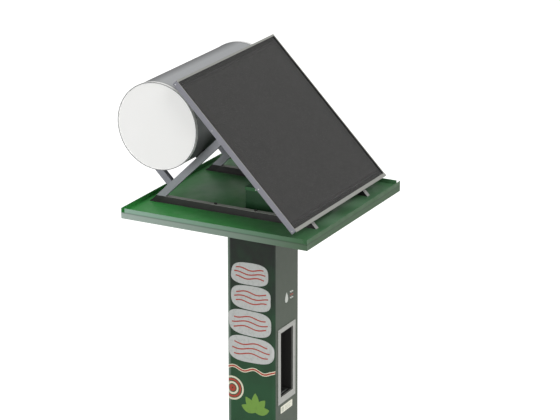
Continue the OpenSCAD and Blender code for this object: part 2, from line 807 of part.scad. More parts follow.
module slope_rails() color("#8b8c96") both_sides() difference() {
    on_slope() translate([frame_x - tube_w / 2, -collector_front, rail_low])
        box_tube(tube_w, collector_front + rail_end, tube_d);
    below_floor();
}

module base_rails() color("#6a6a6e") both_sides() difference() {
    translate([frame_x - tube_w / 2, -beyond / 4, floor_z]) box_tube(tube_w, beyond / 2, tube_d);
    on_slope() translate([0, -beyond / 2, rail_low]) cube([beyond / 2, beyond, beyond]);
    on_slope() translate([0, strut_low, -beyond]) cube([beyond / 2, beyond, 2 * beyond]);
    for (y = [-1, 1]) translate([frame_x, y * beam_y, floor_z - over])
        cylinder(h = tube_d + 2 * over, r = frame_bolt_r + seat_gap, $fn = 48);
}

module struts() color("#82838c") both_sides() difference() {
    on_slope() translate([frame_x - tube_w / 2, strut_low, rail_low - beyond / 2]) difference() {
        cube([tube_w, tube_d, beyond / 2]);
        translate([tube_wall, tube_wall, -over])
            cube([tube_w - 2 * tube_wall, tube_d - 2 * tube_wall, beyond]);
    }
    below_floor();
}

module stubs() color("#82838c") both_sides() on_slope() translate([frame_x - tube_w / 2, strut_top, stub_low])
    box_tube(tube_w, stub_l, tube_d);

bar_inset = 20;
upper_bar_u = rail_end - bar_inset - tube_w;
lower_bar_u = 60;

module cross_bars() color("#82838c") for (u = [lower_bar_u, upper_bar_u]) on_slope()
    translate([-frame_x + tube_w / 2, u, rail_low]) difference() {
        cube([2 * frame_x - tube_w, tube_w, tube_d]);
        translate([-over, tube_wall, tube_wall])
            cube([2 * frame_x - tube_w + 2 * over, tube_w - 2 * tube_wall, tube_d - 2 * tube_wall]);
    }

saddle_l = 60;
saddle_wrap = 1.5;

module saddle(along) cube([tube_w, along, saddle_t + saddle_wrap]);

module saddles() color("#2a2a2b") both_sides() difference() {
    on_slope() translate([frame_x - tube_w / 2, 0, 0]) {
        translate([0, tank_up - saddle_l / 2, rail_low - saddle_t - saddle_wrap]) saddle(saddle_l);
        translate([0, tank_up - saddle_l / 2, stub_top]) saddle(saddle_l);
        translate([0, strut_top, tank_n - saddle_l / 2]) cube([tube_w, saddle_t + saddle_wrap, saddle_l]);
    }
    translate([0, tank_y, tank_z]) rod_x(tank_r + seat_gap, beyond, 360);
}

bolt_head_r = 9;
bolt_head_h = 7;
nut_h = 8;

// A bolt from z = low to z = high, with its head on top and its nut underneath.
module through_bolt(low, high, r) {
    translate([0, 0, low - nut_h]) cylinder(h = high - low + nut_h + bolt_head_h, r = r, $fn = 32);
    translate([0, 0, high]) cylinder(h = bolt_head_h, r = bolt_head_r, $fn = 6);
    translate([0, 0, low - nut_h]) cylinder(h = nut_h, r = bolt_head_r, $fn = 6);
}

module frame_bolts() color("#b9bcba") {
    for (x = [-1, 1], y = [-1, 1]) {
        translate([x * frame_x, y * beam_y, 0]) through_bolt(tray_height, floor_z + tube_d, frame_bolt_r);
        translate([x * plate_bolt_x, y * beam_y, 0])
            through_bolt(panel_top, tray_height + beam_wall, plate_bolt_r);
    }
}

// Collector: four mitred extrusions hold the glass, the absorber and the back

edge_t = 2;
edge_lip = 12;
edge_back_lip = 16;
ledge_w = 10;
glass_t = 4;
gasket_t = 1.5;
ledge_t = 1.5;
ledge_n = -edge_t - gasket_t - glass_t - gasket_t - ledge_t;

// The lower edge: an extrusion of the frame's section, with both ends cut to the mitre.
module frame_edge(l) {
    intersection() {
        translate([-l / 2, 0, -collector_d]) rotate([90, 0, 90]) linear_extrude(l) polygon([
            [0, 0], [edge_back_lip, 0], [edge_back_lip, edge_t], [edge_t, edge_t],
            [edge_t, collector_d + ledge_n], [edge_t + ledge_w, collector_d + ledge_n],
            [edge_t + ledge_w, collector_d + ledge_n + ledge_t], [edge_t, collector_d + ledge_n + ledge_t],
            [edge_t, collector_d - edge_t], [edge_lip, collector_d - edge_t], [edge_lip, collector_d],
            [0, collector_d]]);
        translate([0, 0, -collector_d - over]) linear_extrude(collector_d + 2 * over)
            polygon([[-l / 2, 0], [l / 2, 0], [l / 2 - 2 * edge_back_lip, 2 * edge_back_lip],
                     [-l / 2 + 2 * edge_back_lip, 2 * edge_back_lip]]);
    }
}

module collector_frame() color("#9b9ba1") on_slope() translate([0, collector_l / 2, 0]) {
    for (turn = [0, 180]) rotate([0, 0, turn]) translate([0, -collector_l / 2, 0]) frame_edge(collector_w);
    for (turn = [90, 270]) rotate([0, 0, turn]) translate([0, -collector_w / 2, 0]) frame_edge(collector_l);
}

back_t = 1;
box_w = collector_w - 2 * edge_t;
box_l = collector_l - 2 * edge_t;
header_gap = 2;
header_n = -collector_d + edge_t + back_t + header_r + header_gap;

module loop_holes(r) for (u = [header_inset, flow_u]) translate([loop_pipe_x, u, -collector_d - over])
    cylinder(h = collector_d + header_n + over, r = r, $fn = 48);

module collector_back() color("#8d8f8e") on_slope() difference() {
    translate([-box_w / 2, edge_t, -collector_d + edge_t]) cube([box_w, box_l, back_t]);
    loop_holes(loop_pipe_r + seat_gap);
}

wool_gap = 14;
riser_r = 4;
wool_low = -collector_d + edge_t + back_t;

module collector_wool() color("#d9d2b0") on_slope()
    translate([-box_w / 2, header_inset + header_r + wool_gap, wool_low])
        cube([box_w, flow_u - header_inset - 2 * (header_r + wool_gap), header_n - riser_r - wool_low]);

absorber_t = 1;

module absorber() color("#2f2d2b") on_slope()
    translate([-box_w / 2 + ledge_w, header_inset + header_r + seat_gap, header_n + riser_r])
        cube([box_w - 2 * ledge_w, flow_u - header_inset - 2 * (header_r + seat_gap), absorber_t]);

riser_count = 9;
header_past = 10;
header_l = 2 * (loop_pipe_x + header_past);

// The copper harp: two headers, the risers between them and a short neck to each loop pipe.
module risers() color("#b06a3c") on_slope() {
    for (u = [header_inset, flow_u]) translate([-header_l / 2, u, header_n]) rod_x(header_r, header_l);
    for (i = [0 : riser_count - 1]) translate([(i - (riser_count - 1) / 2) * header_l / riser_count,
        header_inset, header_n]) rod_y(riser_r, flow_u - header_inset);
}

module collector_glass() color("#4a4946") on_slope()
    translate([-box_w / 2 + gasket_t, edge_t + gasket_t, -edge_t - gasket_t - glass_t])
        cube([box_w - 2 * gasket_t, box_l - 2 * gasket_t, glass_t]);

gasket_inset = 1;
gasket_w = ledge_w - gasket_inset;

module glass_gasket() color("#1f1f1f") on_slope() difference() {
    translate([-box_w / 2, edge_t, ledge_n + ledge_t]) cube([box_w, box_l, glass_t + 2 * gasket_t]);
    translate([-box_w / 2 + gasket_w, edge_t + gasket_w, -collector_d])
        cube([box_w - 2 * gasket_w, box_l - 2 * gasket_w, collector_d]);
    translate([-box_w / 2 + gasket_t, edge_t + gasket_t, -edge_t - gasket_t - glass_t])
        cube([box_w - 2 * gasket_t, box_l - 2 * gasket_t, glass_t]);
}

// Tank

shell_t = 1.5;
cap_lip = 12;
cap_lip_t = 2;
vessel_t = 3;
vessel_r = tank_r - shell_t - lagging_t;

module at_tank() translate([0, tank_y, tank_z]) children();

module tank_shell() color("#a9abad") at_tank() difference() {
    translate([-tank_l / 2, 0, 0]) rod_x(tank_r, tank_l);
    translate([-tank_l / 2 - over, 0, 0]) rod_x(tank_r - shell_t, tank_l + 2 * over);
}

bead_r = 3;

// A pressed cap: flat, with a rolled bead at its rim and a lip over the shell.
module tank_cap() {
    difference() {
        union() {
            translate([tank_l / 2 - cap_lip, 0, 0]) rod_x(tank_r + cap_lip_t, cap_lip + cap_t);
            translate([tank_l / 2 + cap_t, 0, 0]) rotate([0, 90, 0])
                rotate_extrude($fn = 96) translate([tank_r + cap_lip_t - bead_r, 0]) circle(bead_r, $fn = 24);
        }
        translate([tank_l / 2 - cap_lip - over, 0, 0]) rod_x(tank_r + held_fit, cap_lip + over);
    }
}

anode_r = 10;
anode_l = 420;
anode_head_r = 17;
anode_head_l = 12;
relief_neck_r = 8;
relief_l = 46;
relief_r = 14;
relief_cap_r = 11;
relief_cap_h = 26;
relief_foot_gap = 12;

ports = [[cold_port, pipe_r], [hot_port, pipe_r], [return_port, loop_pipe_r],
         [[flow_y, flow_z], loop_pipe_r], [relief_port, relief_neck_r], [anode_port, anode_head_r]];

module port_holes(clear) for (p = ports)
    translate([vessel_x, p[0][0] - tank_y, p[0][1] - tank_z]) rod_x(p[1] + clear, tank_l);

module tank_cap_left() color("#f2f2f0") at_tank() mirror([1, 0, 0]) tank_cap();

module tank_cap_right() color("#f2f2f0") at_tank() difference() {
    tank_cap();
    port_holes(seat_gap);
}

module tank_lagging() color("#d9cf9c") at_tank() difference() {
    translate([-tank_l / 2, 0, 0]) rod_x(tank_r - shell_t, tank_l);
    translate([-vessel_x, 0, 0]) rod_x(vessel_r, 2 * vessel_x);
    port_holes(seat_gap);
}

module inner_vessel() color("#6f7d8c") at_tank() difference() {
    translate([-vessel_x, 0, 0]) rod_x(vessel_r, 2 * vessel_x);
    translate([-vessel_x + vessel_t, 0, 0]) rod_x(vessel_r - vessel_t, 2 * (vessel_x - vessel_t));
    translate([vessel_x - 2 * vessel_t, anode_port[0] - tank_y, anode_port[1] - tank_z])
        rod_x(anode_r + held_fit, 4 * vessel_t);
}

module anode() color("#9d9f9c") translate([0, anode_port[0], anode_port[1]]) {
    translate([vessel_x - anode_l, 0, 0]) rod_x(anode_r, anode_l);
    translate([vessel_x, 0, 0]) rotate([0, 90, 0])
        cylinder(h = tank_l / 2 + cap_t - vessel_x + anode_head_l, r = anode_head_r, $fn = 6);
}

// Flow pipe: from the upper header through the collector's back, and into the tank's cap.
module flow_pipe() color("#35312f") on_slope() pipe([[loop_pipe_x, flow_u, header_n - header_r],
    [loop_pipe_x, flow_u, flow_port_n], [vessel_x, flow_u, flow_port_n]], loop_pipe_r);

return_n = (return_z - slope_z(header_inset, 0)) / slope_cos;
return_y = slope_y(header_inset, return_n);
elbow_wall = 3;
elbow_r = loop_pipe_r + elbow_wall;

// Return pipe: from the tank's cap down to the tray, forward, and up into the lower header.
module return_pipe() color("#35312f") {
    pipe([[loop_pipe_x, return_y, return_z], [loop_pipe_x, return_port[0], return_z],
          [loop_pipe_x, return_port[0], return_port[1]],
          [vessel_x, return_port[0], return_port[1]]], loop_pipe_r);
    translate([loop_pipe_x, return_y, return_z]) sphere(elbow_r, $fn = 48);
    on_slope() translate([loop_pipe_x, header_inset, return_n])
        cylinder(h = header_n - header_r - return_n, r = loop_pipe_r, $fn = 32);
}

// Relief valve: a neck out of the vessel, an upright body, and a pipe that drips onto the tray.
module relief_valve() color("#b79a57") translate([0, relief_port[0], relief_port[1]]) {
    translate([vessel_x, 0, 0]) rod_x(relief_neck_r, tank_l / 2 + relief_l - vessel_x);
    translate([tank_l / 2 + relief_l, 0, -relief_r]) cylinder(h = 2 * relief_r, r = relief_r, $fn = 48);
    translate([tank_l / 2 + relief_l, 0, relief_r]) cylinder(h = relief_cap_h, r = relief_cap_r, $fn = 48);
    translate([tank_l / 2 + relief_l, 0, floor_z + relief_foot_gap - relief_port[1]])
        cylinder(h = relief_port[1] - floor_z - relief_foot_gap - relief_r + over, r = pipe_r, $fn = 48);
}

base_plate();
corner_posts();
top_plate();
left_panel();
right_panel();
front_panel();
rear_panels();
service_door();
hinge_frame_leaves();
hinge_door_leaves();
hinge_pins();
lock_housing();
lock_cam();
niche_bezel();
niche_liner();
drip_bowl();
drip_grille();
spout();
tap_block();
valve_stem();
paddle_bracket();
paddle();
paddle_pin();
mixing_valve();
mixing_knob();
mixed_pipe();
hot_pipe();
cold_pipe();
stop_valve();
stop_lever();
drain_pipe();
tray_pan();
tray_skirt();
cross_beams();
housing_box();
housing_lid();
pipe_grommets();
base_rails();
slope_rails();
struts();
stubs();
cross_bars();
saddles();
frame_bolts();
collector_frame();
collector_back();
collector_wool();
absorber();
risers();
collector_glass();
glass_gasket();
tank_shell();
tank_cap_left();
tank_cap_right();
tank_lagging();
inner_vessel();
anode();
flow_pipe();
return_pipe();
relief_valve();
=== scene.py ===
import bmesh
import bpy
import numpy as np
from mathutils import Matrix, Vector


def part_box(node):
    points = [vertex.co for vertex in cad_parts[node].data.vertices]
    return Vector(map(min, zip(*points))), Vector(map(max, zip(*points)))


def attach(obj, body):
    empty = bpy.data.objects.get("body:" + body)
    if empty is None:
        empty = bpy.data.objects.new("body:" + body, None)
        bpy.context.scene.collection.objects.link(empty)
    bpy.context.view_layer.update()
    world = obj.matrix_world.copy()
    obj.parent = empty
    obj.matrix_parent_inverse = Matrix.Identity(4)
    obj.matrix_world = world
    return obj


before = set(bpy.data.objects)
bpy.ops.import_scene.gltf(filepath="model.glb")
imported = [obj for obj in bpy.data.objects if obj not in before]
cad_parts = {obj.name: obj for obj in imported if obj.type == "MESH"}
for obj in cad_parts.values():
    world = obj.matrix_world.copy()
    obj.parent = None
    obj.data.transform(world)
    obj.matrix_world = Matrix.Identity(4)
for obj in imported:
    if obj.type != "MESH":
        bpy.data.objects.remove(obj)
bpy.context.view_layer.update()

# Camera
# A long lens from the front left, a little above the tray, as the photograph was taken.
# The place and the turn come from the tray's and the column's edges in the photograph.
camera_at = Vector((-11.821, -6.367, 6.528))
camera_right = Vector((0.46790, -0.88378, 0.0))
camera_up = Vector((0.28429, 0.15051, 0.94685))
photo_width_px = 560
focal_px = 2535
camera_data = bpy.data.cameras.new("camera")
camera_data.sensor_width = 36
camera_data.lens = camera_data.sensor_width * focal_px / photo_width_px
camera_data.clip_end = 200
camera = bpy.data.objects.new("camera", camera_data)
camera_turn = Matrix((camera_right, camera_up, camera_right.cross(camera_up))).transposed()
camera.matrix_world = Matrix.Translation(camera_at) @ camera_turn.to_4x4()
bpy.context.scene.collection.objects.link(camera)
bpy.context.scene.camera = camera

# Foot
# The base plate is steel plate, blasted and powder coated dark grey green. Four galvanised anchor rods
# come up out of the footing through its holes, each with a washer and a nut.


def linear(code):
    """Turns an sRGB hex colour into linear red, green, blue and alpha."""
    parts = [int(code[i : i + 2], 16) / 255 for i in (1, 3, 5)]
    return tuple(p / 12.92 if p <= 0.04045 else ((p + 0.055) / 1.055) ** 2.4 for p in parts) + (1.0,)


def add_node(tree, kind, inputs=None, **settings):
    """Adds a node. Settings are its attributes. Inputs are its sockets, each a value or another node's
    output."""
    made = tree.nodes.new(kind)
    for name, value in settings.items():
        setattr(made, name, value)
    for name, value in (inputs or {}).items():
        if isinstance(value, bpy.types.NodeSocket):
            tree.links.new(value, made.inputs[name])
        else:
            made.inputs[name].default_value = value
    return made


def new_material(name, **sockets):
    """A material with one shader, and the object's own coordinates in metres. Sockets are the shader's
    plain values."""
    made = bpy.data.materials.new(name)
    made.use_nodes = True
    tree = made.node_tree
    shader = tree.nodes["Principled BSDF"]
    for socket, value in sockets.items():
        shader.inputs[socket.replace("_", " ")].default_value = value
    return made, tree, shader, add_node(tree, "ShaderNodeTexCoord").outputs["Object"]


def surface(tree, shader, tone, gloss, bump):
    """Links a tone, a gloss and a bump to a shader."""
    tree.links.new(tone.outputs[2], shader.inputs["Base Color"])
    tree.links.new(gloss.outputs["Result"], shader.inputs["Roughness"])
    tree.links.new(bump.outputs["Normal"], shader.inputs["Normal"])


MM = 0.001


def powder_coat(name, code, second, peel_mm=5, rough=(0.38, 0.52), cloud_mm=420, sheen=0.5):
    """Baked powder paint: two near tones in soft clouds, a fine orange peel, and a gloss that varies with
    handling. A real peel is about 1 mm across, and is drawn coarser so that it shows."""
    made, tree, shader, place = new_material(name, Specular_IOR_Level=sheen)
    cloud = add_node(tree, "ShaderNodeTexNoise", {"Vector": place, "Scale": 1 / (cloud_mm * MM),
                                                  "Detail": 5.0})
    grime_and_shade = add_node(tree, "ShaderNodeTexNoise", {"Vector": place, "Scale": 1 / (0.12 * cloud_mm * MM),
                                                  "Detail": 6.0})
    tone = add_node(tree, "ShaderNodeMix", {0: cloud.outputs["Fac"], 6: linear(code), 7: linear(second)},
                    data_type="RGBA")
    gloss = add_node(tree, "ShaderNodeMapRange", {"Value": grime_and_shade.outputs["Fac"], "From Min": 0.35,
                                                  "From Max": 0.65, "To Min": rough[0], "To Max": rough[1]})
    peel = add_node(tree, "ShaderNodeTexNoise", {"Vector": place, "Scale": 1 / (peel_mm * MM), "Detail": 2.0})
    bump = add_node(tree, "ShaderNodeBump", {"Height": peel.outputs["Fac"], "Strength": 0.12,
                                             "Distance": 0.0004})
    surface(tree, shader, tone, gloss, bump)
    return made


def zinc(name, code="#B2B6B4", second="#94999A", spangle_mm=9):
    """Hot-dip zinc: crystals of slightly different brightness and gloss that meet at straight edges. On
    small pieces they are drawn coarser than real ones, so that they show."""
    made, tree, shader, place = new_material(name, Metallic=0.85)
    cells = add_node(tree, "ShaderNodeTexVoronoi", {"Vector": place, "Scale": 1 / (spangle_mm * MM)})
    pick = add_node(tree, "ShaderNodeSeparateColor", {"Color": cells.outputs["Color"]})
    tone = add_node(tree, "ShaderNodeMix", {0: pick.outputs[0], 6: linear(code), 7: linear(second)},
                    data_type="RGBA")
    gloss = add_node(tree, "ShaderNodeMapRange", {"Value": pick.outputs[1], "To Min": 0.36, "To Max": 0.58})
    tree.links.new(tone.outputs[2], shader.inputs["Base Color"])
    tree.links.new(gloss.outputs["Result"], shader.inputs["Roughness"])
    return made


def dress(finish, *nodes):
    """Gives CAD nodes a finish."""
    for name in nodes:
        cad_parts[name].data.materials.clear()
        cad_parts[name].data.materials.append(finish)


def shell(name, grid, finish, body="totem", around=False, along=False, smooth=True):
    """A mesh from a grid of points, shaped (rows, columns, 3). around joins the last column to the first,
    and along the last row to the first. Where neither end row is joined, it is closed by one flat face. The
    piece rides on body."""
    rows, columns = grid.shape[:2]
    index = np.arange(rows * columns).reshape(rows, columns)
    below = index if along else index[:-1]
    above = np.roll(index, -1, axis=0) if along else index[1:]
    if around:
        quads = np.stack([below, np.roll(below, -1, axis=1), np.roll(above, -1, axis=1), above], axis=-1)
    else:
        quads = np.stack([below[:, :-1], below[:, 1:], above[:, 1:], above[:, :-1]], axis=-1)
    faces = quads.reshape(-1, 4).tolist()
    if around and not along:
        faces += [index[0][::-1].tolist(), index[-1].tolist()]
    mesh = bpy.data.meshes.new(name)
    mesh.from_pydata(grid.reshape(-1, 3).tolist(), [], faces)
    if around:
        outward = bmesh.new()
        outward.from_mesh(mesh)
        bmesh.ops.recalc_face_normals(outward, faces=outward.faces)
        outward.to_mesh(mesh)
        outward.free()
    mesh.update()
    if smooth:
        mesh.shade_smooth()
        mesh.set_sharp_from_angle(angle=np.radians(35))
    mesh.materials.append(finish)
    made = bpy.data.objects.new(name, mesh)
    bpy.context.scene.collection.objects.link(made)
    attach(made, body)
    return made


def turned(profile, at, axis, sides=48):
    """Points of a profile of (radius, height) pairs turned round an axis through a point. With few sides
    it is a prism, such as a hexagon nut."""
    z = np.array(axis, float)
    z = z / np.linalg.norm(z)
    x = np.cross(z, (0.0, 0.0, 1.0)) if abs(z[2]) < 0.9 else np.array((1.0, 0.0, 0.0))
    x = x / np.linalg.norm(x)
    y = np.cross(z, x)
    angle = np.linspace(0, 2 * np.pi, sides, endpoint=False)
    radius, height = np.array(profile, float).T
    ring = np.cos(angle)[:, None] * x + np.sin(angle)[:, None] * y
    return np.array(at) + radius[:, None, None] * ring[None] + height[:, None, None] * z


plate_paint = powder_coat("powder coated plate", "#4E5752", "#444C48", rough=(0.45, 0.62))
bolt_zinc = zinc("zinc plated bolts", spangle_mm=4)
dress(plate_paint, "base_plate", "top_plate", "cross_beams")
plate_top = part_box("base_plate")[1][2]
anchor_reach = 0.21
rod_r, rod_h = 0.008, 0.03
pitch, thread_d = 0.002, 0.0004
tip_in, tip_h = 0.002, 0.0005
washer_r, washer_t, washer_edge = 0.0155, 0.003, 0.0005
nut_across, nut_h = 0.024, 0.013


def nut_profile(across, height, hole):
    """Half section of a nut, as (radius, height) pairs for six sides: flat under, with both corners
    chamfered, and the thread's mouth on top. A corner lies across / 2 / cos 30 degrees out."""
    corner = across / 2 / np.cos(np.pi / 6)
    cut = corner - across / 2
    return [(corner - cut, 0), (corner, cut * 0.6), (corner, height - cut * 0.6), (corner - cut, height),
            (hole, height)]


for i, (x, y) in enumerate([(-1, -1), (1, -1), (-1, 1), (1, 1)]):
    foot = (x * anchor_reach, y * anchor_reach, plate_top)
    washer = [(rod_r, 0), (washer_r - washer_edge, 0), (washer_r, washer_edge),
              (washer_r, washer_t - washer_edge), (washer_r - washer_edge, washer_t), (rod_r, washer_t)]
    shell(f"anchor_washer_{i}", turned(washer, foot, (0, 0, 1)), bolt_zinc, around=True, along=True)
    head = (foot[0], foot[1], plate_top + washer_t)
    shell(f"anchor_nut_{i}", turned(nut_profile(nut_across, nut_h, rod_r), head, (0, 0, 1), sides=6),
          bolt_zinc, around=True)
    rise = np.arange(0, rod_h, pitch / 4)
    thread = np.stack([rod_r - thread_d + thread_d * np.cos(2 * np.pi * rise / pitch), rise], axis=-1)
    thread = np.append(thread, [(rod_r - tip_in, rod_h + tip_h)], axis=0)
    shell(f"anchor_rod_{i}", turned(thread, foot, (0, 0, 1), sides=32), bolt_zinc, around=True)

# Column
# The posts, side panels, front panel and rear panels are folded from steel sheet and powder coated a
# grey green, with a fine satin grain. The left-hand panel is darker, because it carries the print.
column_paint = powder_coat("powder coated column", "#4E584B", "#4A5347", peel_mm=4, rough=(0.47, 0.52),
                           sheen=0.3)
dress(column_paint, "right_panel", "front_panel", "rear_panels", "service_door")
dress(powder_coat("powder coated posts", "#5A635D", "#525A55"), "corner_posts")
# The left panel is printed with a satin ground, green low down and drifting to near black at print_dark.
# The darkening towards the top is partly the print and partly painted shade under the tray. The print fades
# out at print_edge, and past it a strip of bare paint shows, paler with a painted highlight on the corner's
# arc.
print_low, print_dark = 0.9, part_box("left_panel")[1][2] - 0.15
print_edge = 0.139
drift_mm = 111.1
left_paint, tree, shader, place = new_material("printed ground on the left panel", Roughness=0.55,
                                              Specular_IOR_Level=0.12)
split = add_node(tree, "ShaderNodeSeparateXYZ", {"Vector": place})
fade = add_node(tree, "ShaderNodeMapRange", {"Value": split.outputs["Z"], "From Min": print_low,
                                             "From Max": print_dark})
drift = add_node(tree, "ShaderNodeTexNoise", {"Vector": place, "Scale": 1 / (drift_mm * MM), "Detail": 6.0})
drifted = add_node(tree, "ShaderNodeMath", {0: fade.outputs["Result"], 1: drift.outputs["Fac"]},
                   operation="ADD")
shifted = add_node(tree, "ShaderNodeMath", {0: drifted.outputs[0], 1: 0.5}, operation="SUBTRACT",
                   use_clamp=True)
ground = add_node(tree, "ShaderNodeMix", {0: shifted.outputs[0], 6: linear("#2F5138"), 7: linear("#2A2C2A")},
                  data_type="RGBA")
# The pale strip past print_edge is bare paint lifted by a painted highlight on the corner's arc.
bare_lit_edge = add_node(tree, "ShaderNodeMapRange", {"Value": split.outputs["Y"], "From Min": print_edge - 0.014,
                                             "From Max": print_edge + 0.003})
strip = add_node(tree, "ShaderNodeMix", {0: bare_lit_edge.outputs["Result"], 6: ground.outputs[2],
                                         7: linear("#86968B")}, data_type="RGBA")
tree.links.new(strip.outputs[2], shader.inputs["Base Color"])
peel = add_node(tree, "ShaderNodeTexNoise", {"Vector": place, "Scale": 1 / (4 * MM), "Detail": 2.0})
bump = add_node(tree, "ShaderNodeBump", {"Height": peel.outputs["Fac"], "Strength": 0.1, "Distance": 0.0004})
tree.links.new(bump.outputs["Normal"], shader.inputs["Normal"])
dress(left_paint, "left_panel")

# Print
# Cut vinyl film, satin and 0.2 mm thick, is stuck on the left panel and round its corners. It shows a
# generic design: a stack of pale stones with red veins, a water line, a lime sprout and a fan of rings.
column_half = 0.15
column_corner = 0.016
film_t = 0.0002
film_lift = 0.0002


def on_column(s, z, lift):
    """Points on the column's outline at the distance s from the middle of the left face, towards the front,
    and at the height z. Past the flat, s runs round the corner's arc and on along the next face."""
    flat = column_half - column_corner
    side = np.where(s < 0, -1.0, 1.0)
    past = np.abs(s) - flat
    arc = np.clip(past / column_corner, 0, np.pi / 2)
    beyond = np.maximum(past - column_corner * np.pi / 2, 0)
    x = -flat - (column_corner + lift) * np.cos(arc) + beyond
    y = -side * (np.minimum(np.abs(s), flat) + (column_corner + lift) * np.sin(arc))
    return np.stack(np.broadcast_arrays(x, y, z), axis=-1)


def film(name, code, second, speck_mm, spread):
    """Printed vinyl, satin from its clear laminate: one ink with specks of a second ink in it."""
    made, tree, shader, place = new_material(name, Roughness=0.42, Specular_IOR_Level=0.4)
    speck = add_node(tree, "ShaderNodeTexNoise", {"Vector": place, "Scale": 1 / (speck_mm * MM),
                                                  "Detail": 8.0, "Roughness": 0.7})
    share = add_node(tree, "ShaderNodeMapRange", {"Value": speck.outputs["Fac"], "From Min": 0.5,
                                                  "From Max": 0.5 + spread})
    tone = add_node(tree, "ShaderNodeMix", {0: share.outputs["Result"], 6: linear(code), 7: linear(second)},
                    data_type="RGBA")
    tree.links.new(tone.outputs[2], shader.inputs["Base Color"])
    return made


def patch(name, s, z, finish, lift=film_lift):
    """A film from an outline: rings run from the outline's middle out to its edge, laid on the column, and
    back in again one film's thickness higher."""
    k = np.linspace(0.02, 1, 36)
    height = np.repeat((lift, lift + film_t), len(k))[:, None]
    k = np.concatenate([k, k[::-1]])[:, None]
    middle_s, middle_z = s.mean(), z.mean()
    grid = on_column(middle_s + k * (s - middle_s), middle_z + k * (z - middle_z), height)
    return shell(name, grid, finish, around=True)


def ribbon(name, s, z, width, finish, lift=film_lift, ring=False):
    """A film of even width along a line: its flat section is moved half the width to either side, square to
    the line. A ring's last point joins its first."""
    if ring:
        ds, dz = np.roll(s, -1) - np.roll(s, 1), np.roll(z, -1) - np.roll(z, 1)
    else:
        ds, dz = np.gradient(s), np.gradient(z)
    length = np.hypot(ds, dz)
    section = [(-0.5, 0), (0, 0), (0.5, 0), (0.5, 1), (0, 1), (-0.5, 1)]
    grid = [on_column(s - a * width * dz / length, z + a * width * ds / length, lift + b * film_t)
            for a, b in section]
    return shell(name, np.stack(grid, axis=1), finish, around=True, along=ring)


pale_film = film("pale speckled film", "#C0C2C0", "#939793", speck_mm=16, spread=0.34)
red_film = film("red film", "#A63B2B", "#8C3527", speck_mm=30, spread=0.4)
lime_film = film("lime film", "#6E963A", "#5E8232", speck_mm=30, spread=0.4)
cream_film = film("cream film", "#DEDAC2", "#C9C6AE", speck_mm=40, spread=0.5)
angle = np.linspace(0, 2 * np.pi, 120, endpoint=False)
vein_t = np.linspace(-1, 1, 90)
# A stone's outline is a superellipse of the power boxy, with slow bulges. Its row is the middle's s and z,
# half its width and height, and the bulges' phase. A vein's row is its height and half its length, as shares
# of the stone's.
boxy = 3.2
veins, vein_w = [(0.42, 0.74), (0.02, 0.84), (-0.38, 0.76)], 0.0075
stones = [(0.002, 1.178, 0.143, 0.079, 0.4), (-0.004, 1.338, 0.137, 0.075, 1.7),
          (0.005, 1.490, 0.129, 0.071, 3.1), (-0.003, 1.632, 0.118, 0.065, 4.4)]
for i, (s0, z0, wide, high, phase) in enumerate(stones):
    bulge = 1 + 0.025 * np.cos(2 * angle + phase) + 0.02 * np.cos(3 * angle - phase)
    square = (np.abs(np.cos(angle)) ** boxy + np.abs(np.sin(angle)) ** boxy) ** (-1 / boxy)
    patch(f"stone_{i}", s0 + wide * bulge * square * np.cos(angle),
          z0 + high * bulge * square * np.sin(angle), pale_film)
    for k, (level, share) in enumerate(veins):
        wave = 0.10 * high * np.sin(4 * vein_t + phase + 0.6 * k)
        ribbon(f"vein_{i}_{k}", s0 + share * wide * vein_t, z0 + level * high + wave, vein_w, red_film,
               film_lift + film_t)
# The water line is a sine of 48 radians to a metre that runs on to both corners, red on a wider cream band.
line_half, line_high, line_rise = 0.158, 1.052, 0.010
line_s = np.linspace(-line_half, line_half, 200)
line_z = line_high + line_rise * np.sin(48 * line_s + 0.6)
ribbon("water_line_edge", line_s, line_z, 0.019, cream_film)
ribbon("water_line", line_s, line_z, 0.009, red_film, film_lift + film_t)
# The sprout's leaves fan out from one point and lie one over the next. The outer ones are shorter.
sprout_s, sprout_z = 0.030, 0.80
leaf_l, leaf_less, leaf_half = 0.118, 0.012, 0.024
leaf = np.linspace(0, 1, 48)
for i, lean in enumerate(np.radians([-72, -36, 0, 36, 72])):
    reach = leaf_l - leaf_less * abs(i - 2)
    half = leaf_half * np.sin(np.pi * leaf) ** 0.8
    along = np.concatenate([leaf, leaf[::-1][1:-1]]) * reach
    over = np.concatenate([half, -half[::-1][1:-1]])
    patch(f"leaf_{i}", sprout_s + along * np.sin(lean) + over * np.cos(lean),
          sprout_z + along * np.cos(lean) - over * np.sin(lean), lime_film, film_lift * (1 + 1.2 * i))
# The fan is rings round a point near the rear corner, red and cream by turns, and it runs on round that
# corner.
fan_s, fan_z = -0.118, 0.925
fan_rings = [(0.005, 0.021), (0.027, 0.039), (0.045, 0.057), (0.062, 0.073)]
for i, (inner, outer) in enumerate(fan_rings):
    middle = (inner + outer) / 2
    ribbon(f"fan_ring_{i}", fan_s + middle * np.cos(angle), fan_z + middle * np.sin(angle), outer - inner,
           red_film if i % 2 == 0 else cream_film, ring=True)

# Service door
# The rear door is folded from the column's sheet. It hangs on two zinc plated butt hinges with domed
# screws, and a quarter-turn lock of die-cast zinc holds its free edge.
hinge_zinc = zinc("zinc plated hinges", "#B8BCBA", "#A2A7A6", spangle_mm=5)
dress(hinge_zinc, "hinge_frame_leaves", "hinge_door_leaves", "lock_housing")
dress(zinc("turned lock plug", "#8F9492", "#7C817F", spangle_mm=3), "lock_cam")


